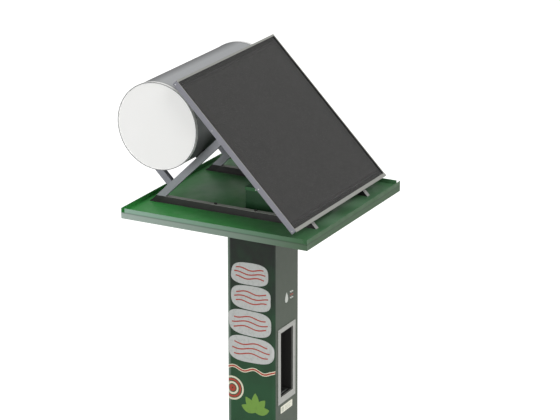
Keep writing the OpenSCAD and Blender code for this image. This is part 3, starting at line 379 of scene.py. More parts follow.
def brushed(name, code, second, grain=(1.0, 1.0, 0.02), grain_mm=2, rough=(0.22, 0.4), metal=1.0):
    """Brushed metal: noise drawn out along the way of the brush, in tone, gloss and height. Real lines are
    about 0.2 mm apart, and are drawn grain_mm apart so that they show."""
    made, tree, shader, place = new_material(name, Metallic=metal)
    drawn = add_node(tree, "ShaderNodeMapping", {"Vector": place, "Scale": grain})
    lines = add_node(tree, "ShaderNodeTexNoise", {"Vector": drawn.outputs["Vector"],
                                                  "Scale": 1 / (grain_mm * MM), "Detail": 4.0})
    tone = add_node(tree, "ShaderNodeMix", {0: lines.outputs["Fac"], 6: linear(code), 7: linear(second)},
                    data_type="RGBA")
    gloss = add_node(tree, "ShaderNodeMapRange", {"Value": lines.outputs["Fac"], "From Min": 0.3,
                                                  "From Max": 0.7, "To Min": rough[0], "To Max": rough[1]})
    bump = add_node(tree, "ShaderNodeBump", {"Height": lines.outputs["Fac"], "Strength": 0.08,
                                             "Distance": 0.0002})
    surface(tree, shader, tone, gloss, bump)
    return made


steel = brushed("brushed stainless steel", "#C8CBC9", "#A9ADAB")
dress(steel, "hinge_pins", "paddle_pin", "valve_stem")
screw_steel = brushed("stainless screws", "#BFC2C0", "#A4A7A5", grain=(1.0, 1.0, 1.0), grain_mm=1)


def screw(name, at, axis, radius, body="totem"):
    """A pan-head screw: a low dome with a round recess in its middle, turned from a profile whose radii and
    heights are shares of the head's radius."""
    dome = radius * np.array([(1, 0), (0.98, 0.25), (0.8, 0.52), (0.42, 0.62), (0.36, 0.25), (0.05, 0.2)])
    shell(name, turned(dome, at, axis, sides=24), screw_steel, body, around=True)


leaf_low, leaf_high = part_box("hinge_door_leaves")
frame_leaf_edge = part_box("hinge_frame_leaves")[1][0]
hinge_h, hinge_t = 0.066, 0.0025
screw_r, screw_in = 0.0035, 0.011
screw_face = leaf_low[1] + hinge_t
for i, z0 in enumerate((leaf_low[2], leaf_high[2] - hinge_h)):
    for k, share in enumerate((0.2, 0.8)):
        z = z0 + share * hinge_h
        screw(f"door_hinge_screw_{i}_{k}", (leaf_low[0] + screw_in, screw_face, z), (0, 1, 0), screw_r,
              "door")
        screw(f"frame_hinge_screw_{i}_{k}", (frame_leaf_edge - screw_in, screw_face, z), (0, 1, 0), screw_r)

# Bottle niche
# A folded stainless bezel frames the niche. The liner is black powder-coated steel, with a drip bowl
# and a lift-out grille in its floor, a spout at its back and a paddle that a bottle pushes.
bezel_steel = brushed("brushed stainless bezel", "#AAABA6", "#9A9B96", grain=(0.02, 1.0, 1.0), grain_mm=1.5,
                      metal=0.55, rough=(0.32, 0.46))
dress(bezel_steel, "niche_bezel")
dress(powder_coat("black powder coat", "#212120", "#262523", peel_mm=2, rough=(0.6, 0.68), cloud_mm=240),
      "niche_liner")
dress(steel, "drip_grille", "drip_bowl", "spout")
dress(brushed("zinc plated tap parts", "#8F9391", "#7F8381", grain_mm=1.5, rough=(0.34, 0.48)), "paddle",
      "paddle_bracket")
bezel_low, bezel_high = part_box("niche_bezel")
bezel_screw_r, from_side, from_end = 0.003, 0.012, 0.014
lowest, highest = bezel_low[2] + from_end, bezel_high[2] - from_end
for i, (x, z) in enumerate([(-1, 0), (1, 0), (-1, 1), (1, 1), (-1, 0.5), (1, 0.5)]):
    at = (x * (bezel_high[0] - from_side), bezel_low[1], lowest + z * (highest - lowest))
    screw(f"bezel_screw_{i}", at, (0, -1, 0), bezel_screw_r)


def plate(name, low, high, corner, thick, finish, face_y, sides=64):
    """A thin plate on the column's front, from (x, z) low to high. Its outline is a circle of the corners'
    radius with its quarters moved apart, and its rows run up the edge, over a small bevel and in across the
    face."""
    turn = np.linspace(0, 2 * np.pi, sides, endpoint=False)
    reach = np.array([(high[0] - low[0]) / 2 - corner, (high[1] - low[1]) / 2 - corner])
    edge = np.stack([np.sign(np.cos(turn)) * reach[0] + corner * np.cos(turn),
                     np.sign(np.sin(turn)) * reach[1] + corner * np.sin(turn)], axis=-1)
    rows = []
    for inset, out in [(0, 0), (0, thick * 0.6), (thick * 0.4, thick), (min(reach) * 0.6, thick)]:
        ring = edge * (1 - inset / np.abs(edge).max(axis=0))
        rows.append(np.stack([(low[0] + high[0]) / 2 + ring[:, 0], np.full(sides, face_y - out),
                              (low[1] + high[1]) / 2 + ring[:, 1]], axis=-1))
    return shell(name, np.array(rows)[:, ::-1], finish, around=True)


label_print = film("cream label", "#FDFBEA", "#F1EFDB", speck_mm=30, spread=0.5)
label_ink = film("faded green ink", "#D0D4C2", "#C6CAB8", speck_mm=20, spread=0.4)
front_y = -column_half
label_low, label_high, label_corner, label_t = (-0.070, 0.785), (0.070, 0.827), 0.003, 0.0015
mark_corner, mark_t = 0.0015, 0.0003
marks = [((-0.060, 0.792), (-0.034, 0.820)), ((-0.024, 0.812), (0.058, 0.816)),
         ((-0.024, 0.803), (0.042, 0.807)), ((-0.024, 0.794), (0.050, 0.798))]
plate("label_plate", label_low, label_high, label_corner, label_t, label_print, front_y)
for i, (low, high) in enumerate(marks):
    plate(f"label_mark_{i}", low, high, mark_corner, mark_t, label_ink, front_y - label_t)
sign_film = film("white sign film", "#D9DCD6", "#C6CAC3", speck_mm=20, spread=0.4)


def front_s(x):
    """How far along the column's outline the place x on its front face is."""
    flat = column_half - column_corner
    return flat + column_corner * np.pi / 2 + flat + x


# The sign is a drop, an ellipse whose width shrinks to nothing at its top, beside three short sine waves.
drop_x, drop_z, drop_w, drop_h = 0.001, 1.470, 0.024, 0.031
drop_t = np.linspace(0, 2 * np.pi, 64, endpoint=False)
drop_across = drop_x + drop_w * np.sin(drop_t) * (0.5 - 0.5 * np.cos(drop_t)) ** 0.55
patch("sign_drop", front_s(drop_across), drop_z + drop_h * np.cos(drop_t), sign_film)
wave_x, wave_l, wave_w = 0.042, 0.038, 0.0055
wave_z, wave_gap, wave_rise = 1.452, 0.018, 0.004
wave_t = np.linspace(0, 1, 40)
for i in range(3):
    ribbon(f"sign_wave_{i}", front_s(wave_x + wave_l * wave_t),
           wave_z + wave_gap * i + wave_rise * np.sin(4 * np.pi * wave_t), wave_w,
           red_film if i == 1 else sign_film)

# Plumbing
# The water pipes are hard copper, darkened by handling, with brass valves. The drain is grey PVC, and
# the knob is black moulded plastic. Brass union nuts join the pipes to the tank.


def tarnished(name, code, second, patch_mm, rough, metal=1.0):
    """Bare copper or brass: a bright tone under patches of darker oxide, which are duller too."""
    made, tree, shader, place = new_material(name, Metallic=metal)
    oxide = add_node(tree, "ShaderNodeTexNoise", {"Vector": place, "Scale": 1 / (patch_mm * MM),
                                                  "Detail": 8.0})
    tone = add_node(tree, "ShaderNodeMix", {0: oxide.outputs["Fac"], 6: linear(code), 7: linear(second)},
                    data_type="RGBA")
    gloss = add_node(tree, "ShaderNodeMapRange", {"Value": oxide.outputs["Fac"], "From Min": 0.35,
                                                  "From Max": 0.65, "To Min": rough[0], "To Max": rough[1]})
    bump = add_node(tree, "ShaderNodeBump", {"Height": oxide.outputs["Fac"], "Strength": 0.1,
                                             "Distance": 0.0003})
    surface(tree, shader, tone, gloss, bump)
    return made


copper = tarnished("tarnished copper", "#8A5A40", "#5E3B2A", patch_mm=60, rough=(0.3, 0.55))
cast_brass = tarnished("cast brass", "#94804F", "#7A6A42", patch_mm=12, rough=(0.42, 0.6))
dress(copper, "hot_pipe", "cold_pipe", "mixed_pipe")
dress(cast_brass, "stop_valve", "mixing_valve", "tap_block", "relief_valve")


def moulded(name, code, second, grain_mm, rough):
    """Moulded plastic or rubber: an even colour, clouded slightly, with a fine grain from the mould. The
    real grain is under 0.5 mm, and is drawn grain_mm across so that it shows."""
    made, tree, shader, place = new_material(name, Specular_IOR_Level=0.45)
    cloud = add_node(tree, "ShaderNodeTexNoise", {"Vector": place, "Scale": 1 / (40 * grain_mm * MM),
                                                  "Detail": 4.0})
    grain = add_node(tree, "ShaderNodeTexNoise", {"Vector": place, "Scale": 1 / (grain_mm * MM),
                                                  "Detail": 3.0})
    tone = add_node(tree, "ShaderNodeMix", {0: cloud.outputs["Fac"], 6: linear(code), 7: linear(second)},
                    data_type="RGBA")
    gloss = add_node(tree, "ShaderNodeMapRange", {"Value": grain.outputs["Fac"], "To Min": rough[0],
                                                  "To Max": rough[1]})
    bump = add_node(tree, "ShaderNodeBump", {"Height": grain.outputs["Fac"], "Strength": 0.15,
                                             "Distance": 0.0002})
    surface(tree, shader, tone, gloss, bump)
    return made


dress(moulded("black moulded plastic", "#2B2D2F", "#232527", grain_mm=1.5, rough=(0.45, 0.65)), "mixing_knob")
dress(moulded("grey PVC", "#5A5F61", "#505557", grain_mm=3, rough=(0.35, 0.55)), "drain_pipe")
dress(powder_coat("red lever paint", "#B23528", "#A02E23", peel_mm=1.5, rough=(0.3, 0.45), cloud_mm=60),
      "stop_lever")

# Tray
# The pan is folded steel sheet in a glossy leaf green, with a hemmed edge. Folded channels under it,
# coated a paler grey green, make the skirt. Outside, both carry painted light: paler towards the rear left
# corner, and darker with painted shade along the front and the right.
pan_low, pan_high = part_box("tray_pan")
joint_z = pan_low[2]


def painted_light_share(tree, place, reach):
    """How brightly a place is painted lit: y - x, which is low along the front and the right, in painted
    shade, and rises towards the rear left corner, spread from 0 at -0.1 m to 1 at reach."""
    along = add_node(tree, "ShaderNodeVectorMath", {0: place, 1: (-1.0, 1.0, 0.0)}, operation="DOT_PRODUCT")
    return add_node(tree, "ShaderNodeMapRange", {"Value": along.outputs["Value"], "From Min": -0.1,
                                                 "From Max": reach}).outputs["Result"]


def painted_light_tone(tree, place, shaded, lit):
    """A tone of the tray's outside with painted light and shade: the shaded tone at the front right lifts to
    the lit tone at the rear left, and a painted shadow line darkens the joint between the pan and the skirt."""
    split = add_node(tree, "ShaderNodeSeparateXYZ", {"Vector": place})
    above = add_node(tree, "ShaderNodeMath", {0: split.outputs["Z"], 1: joint_z}, operation="SUBTRACT")
    away = add_node(tree, "ShaderNodeMath", {0: above.outputs[0]}, operation="ABSOLUTE")
    # The joint is a painted shadow line: the tone is scaled down to 0.6 within 1 mm of it.
    unshaded = add_node(tree, "ShaderNodeMapRange", {"Value": away.outputs[0], "From Min": 0.001,
                                                  "From Max": 0.006, "To Min": 0.6, "To Max": 1.0})
    tone = add_node(tree, "ShaderNodeMix", {0: painted_light_share(tree, place, 1.15), 6: linear(shaded),
                                            7: linear(lit)}, data_type="RGBA")
    return add_node(tree, "ShaderNodeVectorMath", {0: tone.outputs[2], "Scale": unshaded.outputs["Result"]},
                    operation="SCALE").outputs["Vector"]


# Glossy paint. The pan's floor is painted duller and darker at the front right, as painted shade, and clear
# green at the rear left, as painted light, with pale spots of painted sheen. Its outer faces, within 1 mm of
# pan_edge, carry the same painted light and shade as the skirt does.
pan_edge = pan_high[0]
pan_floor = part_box("base_rails")[0][2]
sheen_spots = [(0.02, 0.30, 0.26), (-0.16, -0.455, 0.16), (0.16, -0.45, 0.14), (0.53, 0.50, 0.16)]
pan_cloud_mm, handling_mm = 250, 71.4
pan_paint, tree, shader, place = new_material("glossy tray paint", Specular_IOR_Level=0.28)
split = add_node(tree, "ShaderNodeSeparateXYZ", {"Vector": place})
out_x = add_node(tree, "ShaderNodeMath", {0: split.outputs["X"]}, operation="ABSOLUTE")
out_y = add_node(tree, "ShaderNodeMath", {0: split.outputs["Y"]}, operation="ABSOLUTE")
out = add_node(tree, "ShaderNodeMath", {0: out_x.outputs[0], 1: out_y.outputs[0]}, operation="MAXIMUM")
outside = add_node(tree, "ShaderNodeMapRange", {"Value": out.outputs[0], "From Min": pan_edge - 0.0008,
                                                "From Max": pan_edge - 0.0004})
cloud = add_node(tree, "ShaderNodeTexNoise", {"Vector": place, "Scale": 1 / (pan_cloud_mm * MM),
                                              "Detail": 4.0})
# The floor's tone is painted shade at the front right and painted light at the rear left.
ground_tone = add_node(tree, "ShaderNodeMix", {0: painted_light_share(tree, place, 0.7), 6: linear("#4C7752"),
                                               7: linear("#45A652")}, data_type="RGBA")
shade = add_node(tree, "ShaderNodeMapRange", {"Value": cloud.outputs["Fac"], "From Min": 0.3, "From Max": 0.7,
                                              "To Min": 0.86, "To Max": 1.06})
inner = add_node(tree, "ShaderNodeVectorMath", {0: ground_tone.outputs[2], "Scale": shade.outputs["Result"]},
                 operation="SCALE")
floor_tone = inner.outputs["Vector"]
# Each spot mixes in a pale green of painted sheen, strongest at its middle.
for x, y, reach in sheen_spots:
    gap = add_node(tree, "ShaderNodeVectorMath", {0: place, 1: (x, y, pan_floor)}, operation="DISTANCE")
    dust_and_sheen = add_node(tree, "ShaderNodeMapRange", {"Value": gap.outputs["Value"], "From Min": 0.02,
                                                 "From Max": reach, "To Min": 0.42, "To Max": 0.0},
                    interpolation_type="SMOOTHSTEP")
    mixed = add_node(tree, "ShaderNodeMix", {0: dust_and_sheen.outputs["Result"], 6: floor_tone, 7: linear("#98BE9D")},
                     data_type="RGBA")
    floor_tone = mixed.outputs[2]
tone = add_node(tree, "ShaderNodeMix", {0: outside.outputs["Result"], 6: floor_tone,
                                        7: painted_light_tone(tree, place, "#1F4F20", "#8FAE9D")}, data_type="RGBA")
handled = add_node(tree, "ShaderNodeTexNoise", {"Vector": place, "Scale": 1 / (handling_mm * MM),
                                                "Detail": 5.0})
gloss = add_node(tree, "ShaderNodeMapRange", {"Value": handled.outputs["Fac"], "From Min": 0.35,
                                              "From Max": 0.65, "To Min": 0.28, "To Max": 0.42})
tree.links.new(tone.outputs[2], shader.inputs["Base Color"])
tree.links.new(gloss.outputs["Result"], shader.inputs["Roughness"])
dress(pan_paint, "tray_pan")
# The skirt's paint is paler and a little duller, with an orange peel.
skirt_paint, tree, shader, place = new_material("skirt paint", Roughness=0.42, Specular_IOR_Level=0.22)
# The skirt's tone carries the same painted light and shade, and the same painted shadow line, as the pan's
# outside.
tree.links.new(painted_light_tone(tree, place, "#365435", "#A1B0A8"), shader.inputs["Base Color"])
peel = add_node(tree, "ShaderNodeTexNoise", {"Vector": place, "Scale": 1 / (5 * MM), "Detail": 2.0})
bump = add_node(tree, "ShaderNodeBump", {"Height": peel.outputs["Fac"], "Strength": 0.12, "Distance": 0.0004})
tree.links.new(bump.outputs["Normal"], shader.inputs["Normal"])
dress(skirt_paint, "tray_skirt")


def tube(path, radius, sides=12, ripple=0.0, pitch=0.004):
    """Points of a tube round a path of points, each ring square to the path. ripple swells it every pitch,
    as a weld bead's scales do."""
    path = np.array(path, float)
    ahead = np.gradient(path, axis=0)
    ahead /= np.linalg.norm(ahead, axis=1)[:, None]
    guide = np.where(np.abs(ahead[:, 2:]) > 0.9, (1.0, 0.0, 0.0), (0.0, 0.0, 1.0))
    side = np.cross(ahead, guide)
    side /= np.linalg.norm(side, axis=1)[:, None]
    rise = np.cross(side, ahead)
    turn = np.linspace(0, 2 * np.pi, sides, endpoint=False)
    run = np.concatenate([[0], np.cumsum(np.linalg.norm(np.diff(path, axis=0), axis=1))])
    r = radius * (1 + ripple * np.cos(2 * np.pi * run / pitch))
    ring = np.cos(turn)[None, :, None] * side[:, None] + np.sin(turn)[None, :, None] * rise[:, None]
    return path[:, None] + r[:, None, None] * ring


def straight(a, b, step):
    """Points about a step apart on the line from a to b."""
    a, b = np.array(a, float), np.array(b, float)
    count = max(2, int(np.linalg.norm(b - a) / step) + 1)
    return a + np.linspace(0, 1, count)[:, None] * (b - a)


# The hem is the rolled top edge of the pan's sides. On the left and the right it stops at the corner reliefs.
hem_paint = powder_coat("hem of the tray", "#4E8A58", "#447E4E", peel_mm=6, rough=(0.2, 0.34))
hem_r, hem_in, relief = 0.0019, 0.0001, 0.022
edge = pan_edge - hem_r - hem_in
hem_z = pan_high[2] - hem_r
for i, (a, b) in enumerate([((-edge, -edge), (edge, -edge)), ((-edge, edge), (edge, edge)),
                            ((-edge, relief - edge), (-edge, edge - relief)),
                            ((edge, relief - edge), (edge, edge - relief))]):
    roll = tube(straight((*a, hem_z), (*b, hem_z), step=0.1), hem_r, sides=16)
    shell(f"hem_{i}", roll, hem_paint, around=True)

# Housing
# A folded steel box on the tray covers the place where the pipes come up, with a lift-off lid. It is
# coated a darker green, painted shade from the collector above, and the lid's paler green is painted light on
# its top. Four screws hold the lid's lip, and rubber grommets seal the pipes' holes.
housing_paint = powder_coat("housing paint", "#1E4527", "#1B4124", peel_mm=4, rough=(0.34, 0.4))
dress(housing_paint, "housing_box")
dress(powder_coat("lid paint", "#2F6339", "#2C5E36", peel_mm=4, rough=(0.34, 0.38)), "housing_lid")
dress(moulded("black rubber grommets", "#262626", "#1F1F1F", grain_mm=2, rough=(0.6, 0.8)),
      "pipe_grommets", "saddles")
lid_low, lid_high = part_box("housing_lid")
lip_middle = 0.009
for i, (x, y) in enumerate([(0, 0.2), (0, 0.8), (1, 0.2), (1, 0.8)]):
    at = (lid_low[0] + x * (lid_high[0] - lid_low[0]), lid_low[1] + y * (lid_high[1] - lid_low[1]),
          lid_low[2] + lip_middle)
    screw(f"lid_screw_{i}", at, (2 * x - 1, 0, 0), screw_r)

# Side frames
# Rectangular steel tube, cut and welded, coated a cool grey. The weld beads run round the feet of the
# struts and the rails, and bolts hold the frames through the tray to its beams.
frame_paint = powder_coat("frame paint", "#8E8E98", "#84848E", peel_mm=3, rough=(0.34, 0.5), cloud_mm=200)
dress(frame_paint, "stubs", "cross_bars")
# Brush paint, black on the base rails' sides as painted shade and pale on their tops as a painted highlight,
# each in two tones mixed by noise.
rail_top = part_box("base_rails")[1][2]
rail_paint, tree, shader, place = new_material("base rail paint", Roughness=0.5)
split = add_node(tree, "ShaderNodeSeparateXYZ", {"Vector": place})
lit_top = add_node(tree, "ShaderNodeMapRange", {"Value": split.outputs["Z"], "From Min": rail_top - 0.0015,
                                             "From Max": rail_top - 0.0005})
scuff = add_node(tree, "ShaderNodeTexNoise", {"Vector": place, "Scale": 1 / (35 * MM), "Detail": 6.0})
dark = add_node(tree, "ShaderNodeMix", {0: scuff.outputs["Fac"], 6: linear("#222121"), 7: linear("#2C2A2A")},
                data_type="RGBA")
light = add_node(tree, "ShaderNodeMix", {0: scuff.outputs["Fac"], 6: linear("#B9BBB4"), 7: linear("#8F918C")},
                 data_type="RGBA")
# The pale top is a painted highlight and the black sides are painted shade.
tone = add_node(tree, "ShaderNodeMix", {0: lit_top.outputs["Result"], 6: dark.outputs[2], 7: light.outputs[2]},
                data_type="RGBA")
tree.links.new(tone.outputs[2], shader.inputs["Base Color"])
dress(rail_paint, "base_rails")


def two_paints(name, share, first, second):
    """Brush paint in two colours. share gives an output that is 0 where the first colour shows and 1 where
    the second does."""
    made, tree, shader, place = new_material(name, Roughness=0.48, Specular_IOR_Level=0.35)
    cloud = add_node(tree, "ShaderNodeTexNoise", {"Vector": place, "Scale": 1 / (30 * MM), "Detail": 6.0})
    tones = [add_node(tree, "ShaderNodeMix", {0: cloud.outputs["Fac"], 6: linear(a), 7: linear(b)},
                      data_type="RGBA") for a, b in (first, second)]
    tone = add_node(tree, "ShaderNodeMix", {0: share(tree, place), 6: tones[0].outputs[2],
                                            7: tones[1].outputs[2]}, data_type="RGBA")
    tree.links.new(tone.outputs[2], shader.inputs["Base Color"])
    return made


def above_foot_shade(tree, place):
    """1 above the base rails' top, where the painted shade on the feet ends, and 0 below it."""
    split = add_node(tree, "ShaderNodeSeparateXYZ", {"Vector": place})
    return add_node(tree, "ShaderNodeMapRange", {"Value": split.outputs["Z"], "From Min": rail_top - 0.001,
                                                 "From Max": rail_top + 0.001}).outputs["Result"]


foot_top = 2.115


def slope_foot_shade(tree, place):
    """0 on the left and right faces of a slope rail below foot_top, which are black with painted shade, and 1
    elsewhere, where the pale tone is painted light.
    """
    split = add_node(tree, "ShaderNodeSeparateXYZ", {"Vector": place})
    high = add_node(tree, "ShaderNodeMapRange", {"Value": split.outputs["Z"], "From Min": foot_top - 0.001,
                                                 "From Max": foot_top + 0.001})
    normal = add_node(tree, "ShaderNodeNewGeometry").outputs["Normal"]
    facing = add_node(tree, "ShaderNodeSeparateXYZ", {"Vector": normal})
    side = add_node(tree, "ShaderNodeMath", {0: facing.outputs["X"]}, operation="ABSOLUTE")
    front = add_node(tree, "ShaderNodeMapRange", {"Value": side.outputs[0], "From Min": 0.3, "From Max": 0.7,
                                                  "To Min": 1.0, "To Max": 0.0})
    return add_node(tree, "ShaderNodeMath", {0: front.outputs["Result"], 1: high.outputs["Result"]},
                    operation="MAXIMUM").outputs[0]


# The black tones are painted shade on the feet, and the slope rails' pale tones are painted light.
grey_tones, shade_tones = ("#9D9EA5", "#93949B"), ("#222121", "#2C2A2A")
dress(two_paints("strut paint with dark feet", above_foot_shade, shade_tones, grey_tones), "struts")
dress(two_paints("slope rail paint with dark feet", slope_foot_shade, shade_tones, ("#BDBBBA", "#AFADAC")),
      "slope_rails")
dress(moulded("black oxide bolts", "#343332", "#2B2A29", grain_mm=2, rough=(0.4, 0.55)), "frame_bolts")
rail_low, rail_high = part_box("base_rails")
tube_w, tube_d = 0.030, 0.040
tilt = np.radians(45.5)
foot_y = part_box("struts")[1][1]
foot_l = tube_d / np.sin(tilt)
bead_r, bead_up = 0.0028, 0.0018
bead_z = rail_low[2] + bead_up
tacks, tack_l, tack_share = 7, 0.035, 0.8
first_tack, last_tack = rail_low[1] + 0.02, rail_high[1] - 0.06


def weld(name, a, b, radius):
    """A weld bead from a to b: a thin tube whose radius swells and shrinks by 18% along its scales."""
    # The bead takes the rail paint, whose black at this height is painted shade.
    shell(name, tube(straight(a, b, step=0.001), radius, sides=8, ripple=0.18), rail_paint, around=True)


for i, side in enumerate((-1, 1)):
    inner = side * (rail_high[0] - tube_w)
    outer = side * rail_high[0]
    for k, x in enumerate((inner, outer)):
        weld(f"strut_bead_{i}_{k}", (x, foot_y - foot_l, bead_z), (x, foot_y, bead_z), bead_r)
    weld(f"strut_heel_bead_{i}", (inner, foot_y, bead_z), (outer, foot_y, bead_z), bead_r)
    for y in np.linspace(first_tack, last_tack, tacks):
        for k, x in enumerate((inner, outer)):
            weld(f"rail_tack_{i}_{k}_{round(y * 1000)}", (x, y, bead_z), (x, y + tack_l, bead_z),
                 tack_share * bead_r)

# Collector
# Mitred aluminium extrusions hold a pane of solar glass on a rubber gasket, and a folded strip sheds the
# drips along the low edge. Under the glass lies a near-black selective sheet on copper risers, then mineral
# wool and a pressed back.
slope_origin = np.array((0.0, -0.496, 2.092))
slope_u = np.array((0.0, np.cos(tilt), np.sin(tilt)))
slope_n = np.array((0.0, -np.sin(tilt), np.cos(tilt)))


def on_slope(x, u, n):
    """The point at x across, u up the slope and n above the collector's face."""
    return slope_origin + np.array((x, 0.0, 0.0)) + u * slope_u + n * slope_n


def along_slope(tree, place, way):
    """How far a place lies from the slope's origin along a way."""
    dot = add_node(tree, "ShaderNodeVectorMath", {0: place, 1: tuple(way)}, operation="DOT_PRODUCT")
    return add_node(tree, "ShaderNodeMath", {0: dot.outputs["Value"], 1: float(slope_origin @ way)},
                    operation="SUBTRACT").outputs[0]


# Anodised aluminium, painted as lit and shaded copies: a bright satin on the face that the sun sees, as a
# painted highlight, and a cooler grey on the sides. Black glazing trim covers the face but for a rim, where
# the highlight shows, and painted shade darkens the extrusion inside.
rim_end, rim_left, rim_right = 0.012, 0.003, 0.008
face_n, wall_t = -0.0006, 0.002
frame_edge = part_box("collector_frame")[1][0]
frame_l = 1.03
extrusion, tree, shader, place = new_material("anodised aluminium extrusion", Metallic=0.3,
                                              Specular_IOR_Level=0.4)
grain = add_node(tree, "ShaderNodeTexNoise", {"Vector": place, "Scale": 1 / (2 * MM), "Detail": 4.0})
side_tone = add_node(tree, "ShaderNodeMix", {0: grain.outputs["Fac"], 6: linear("#7E7E86"),
                                             7: linear("#74747B")}, data_type="RGBA")


def within(tree, limits, soft=0.0003):
    """1 where every value is past its edge, and 0 elsewhere: the product of one steep step for each, soft to
    either side of the edge. A limit is (value, edge, way), and way is -1 where past means below."""
    steps = [add_node(tree, "ShaderNodeMapRange", {"Value": value, "From Min": edge - way * soft,
                                                   "From Max": edge + way * soft}).outputs["Result"]
             for value, edge, way in limits]
    share = steps[0]
    for step in steps[1:]:
        share = add_node(tree, "ShaderNodeMath", {0: share, 1: step}, operation="MULTIPLY").outputs[0]
    return share


across = add_node(tree, "ShaderNodeSeparateXYZ", {"Vector": place}).outputs["X"]
up_slope = along_slope(tree, place, slope_u)
on_face = (along_slope(tree, place, slope_n), face_n, 1)
# The face is a lit copy of the metal, a painted highlight.
lit_face = within(tree, [on_face])
covered = within(tree, [on_face, (up_slope, rim_end, 1), (up_slope, frame_l - rim_end, -1),
                        (across, rim_left - frame_edge, 1), (across, frame_edge - rim_right, -1)])
metal_tone = add_node(tree, "ShaderNodeMix", {0: lit_face, 6: side_tone.outputs[2], 7: linear("#ACADA7")},
                      data_type="RGBA")
# Painted shade darkens the extrusion's inner faces.
inside = within(tree, [(up_slope, wall_t, 1), (up_slope, frame_l - wall_t, -1),
                       (across, wall_t - frame_edge, 1), (across, frame_edge - wall_t, -1)])
inside = add_node(tree, "ShaderNodeMath", {0: inside, 1: lit_face}, operation="SUBTRACT",
                  use_clamp=True).outputs[0]
dark = add_node(tree, "ShaderNodeMath", {0: covered, 1: inside}, operation="MAXIMUM").outputs[0]
tone = add_node(tree, "ShaderNodeMix", {0: dark, 6: metal_tone.outputs[2], 7: linear("#343331")},
                data_type="RGBA")
gloss = add_node(tree, "ShaderNodeMapRange", {"Value": grain.outputs["Fac"], "From Min": 0.3, "From Max": 0.7,
                                              "To Min": 0.32, "To Max": 0.46})
bump = add_node(tree, "ShaderNodeBump", {"Height": grain.outputs["Fac"], "Strength": 0.08,
                                         "Distance": 0.0002})
surface(tree, shader, tone, gloss, bump)
dress(extrusion, "collector_frame")
# The back is plain mill aluminium outside and blacked on the face that looks up into the collector.
back_metal = brushed("mill aluminium back", "#9A9C9B", "#939594", grain=(0.02, 1.0, 1.0), grain_mm=1,
                     rough=(0.38, 0.42), metal=0.8)
tree = back_metal.node_tree
shader = tree.nodes["Principled BSDF"]
bare_tone = shader.inputs["Base Color"].links[0].from_socket
faces = add_node(tree, "ShaderNodeNewGeometry").outputs["Normal"]
upward = add_node(tree, "ShaderNodeVectorMath", {0: faces, 1: tuple(slope_n)}, operation="DOT_PRODUCT")
blacked = add_node(tree, "ShaderNodeMix", {0: within(tree, [(upward.outputs["Value"], 0.5, 1)]), 6: bare_tone,
                                           7: linear("#1C1C1C")}, data_type="RGBA")
tree.links.new(blacked.outputs[2], shader.inputs["Base Color"])
dress(back_metal, "collector_back")
absorber_coat = powder_coat("selective absorber coat", "#2A2A2C", "#232325", peel_mm=12, rough=(0.4, 0.55),
                            cloud_mm=250)
dress(absorber_coat, "absorber", "risers")
dress(moulded("glazing rubber", "#222222", "#1B1B1B", grain_mm=2, rough=(0.55, 0.7)), "glass_gasket")
wool = moulded("mineral wool", "#CFC69A", "#B9AE80", grain_mm=6, rough=(0.85, 0.98))
dress(wool, "collector_wool", "tank_lagging")
# Solar glass is clear, with a light haze of dust that dulls it in patches.
dust_mm = 285.7
pane, tree, shader, place = new_material("solar glass", Transmission_Weight=1.0, IOR=1.5)
shader.inputs["Base Color"].default_value = linear("#E4E2DF")
dust_and_sheen = add_node(tree, "ShaderNodeTexNoise", {"Vector": place, "Scale": 1 / (dust_mm * MM), "Detail": 7.0})
haze = add_node(tree, "ShaderNodeMapRange", {"Value": dust_and_sheen.outputs["Fac"], "From Min": 0.35, "From Max": 0.7,
                                             "To Min": 0.03, "To Max": 0.045})
tree.links.new(haze.outputs["Result"], shader.inputs["Roughness"])
dress(pane, "collector_glass")
strip_metal = brushed("mill aluminium drip strip", "#B2B3AD", "#A5A6A0", grain=(0.02, 1.0, 1.0),
                      grain_mm=1.5, metal=0.3, rough=(0.34, 0.48))
strip_w, strip_t, strip_over, strip_drop = 0.014, 0.0009, 0.006, 0.004
strip_gap, strip_bend, strip_slant, strip_short = 0.0002, 0.0006, 0.0015, 0.0005
strip_top = strip_t + 2 * strip_gap
section = [(-strip_over, -strip_drop), (-strip_over, strip_t), (strip_bend - strip_over, strip_top),
           (strip_w - strip_slant, strip_top), (strip_w, strip_gap), (strip_t - strip_over, strip_gap),
           (strip_t - strip_over, -strip_drop)]
strip_half = frame_edge - strip_short
strip = np.array([[on_slope(side * strip_half, u, n) for u, n in section] for side in (-1, 1)])
shell("drip_strip", strip, strip_metal, around=True, smooth=False)
edge_screws, edge_screw_n = (0.012, 0.30, 0.70, 1.018), -0.022
for i, side in enumerate((-1, 1)):
    for k, u in enumerate(edge_screws):
        screw(f"edge_screw_{i}_{k}", on_slope(side * frame_edge, u, edge_screw_n), (side, 0, 0), screw_r)

# Tank
# The shell is rolled from pre-painted steel sheet, and the ends are pressed white caps. A thin steel hoop
# lies on the shell beside each cap, and a rubber trim runs round the cap's rim. Mineral wool fills the space
# round an enamelled vessel.
cap_low, cap_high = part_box("tank_cap_left")
tank_y = (cap_low[1] + cap_high[1]) / 2
tank_z = (cap_low[2] + cap_high[2]) / 2
rim_r = (cap_high[1] - cap_low[1]) / 2
# Coil-coated steel, satin and even, but for a painted dark reflection in a streak along the shell just
# behind its crown and painted shade underneath.
shell_paint = brushed("pre-painted steel shell", "#BCBEC0", "#B1B3B5", grain=(1.0, 0.04, 0.04), grain_mm=3,
                      metal=0.1, rough=(0.36, 0.44))
tree = shell_paint.node_tree
shader = tree.nodes["Principled BSDF"]
unshaded = shader.inputs["Base Color"].links[0].from_socket
normal = add_node(tree, "ShaderNodeNewGeometry").outputs["Normal"]
turned_to = add_node(tree, "ShaderNodeSeparateXYZ", {"Vector": normal})
shader.inputs["Specular IOR Level"].default_value = 0.2
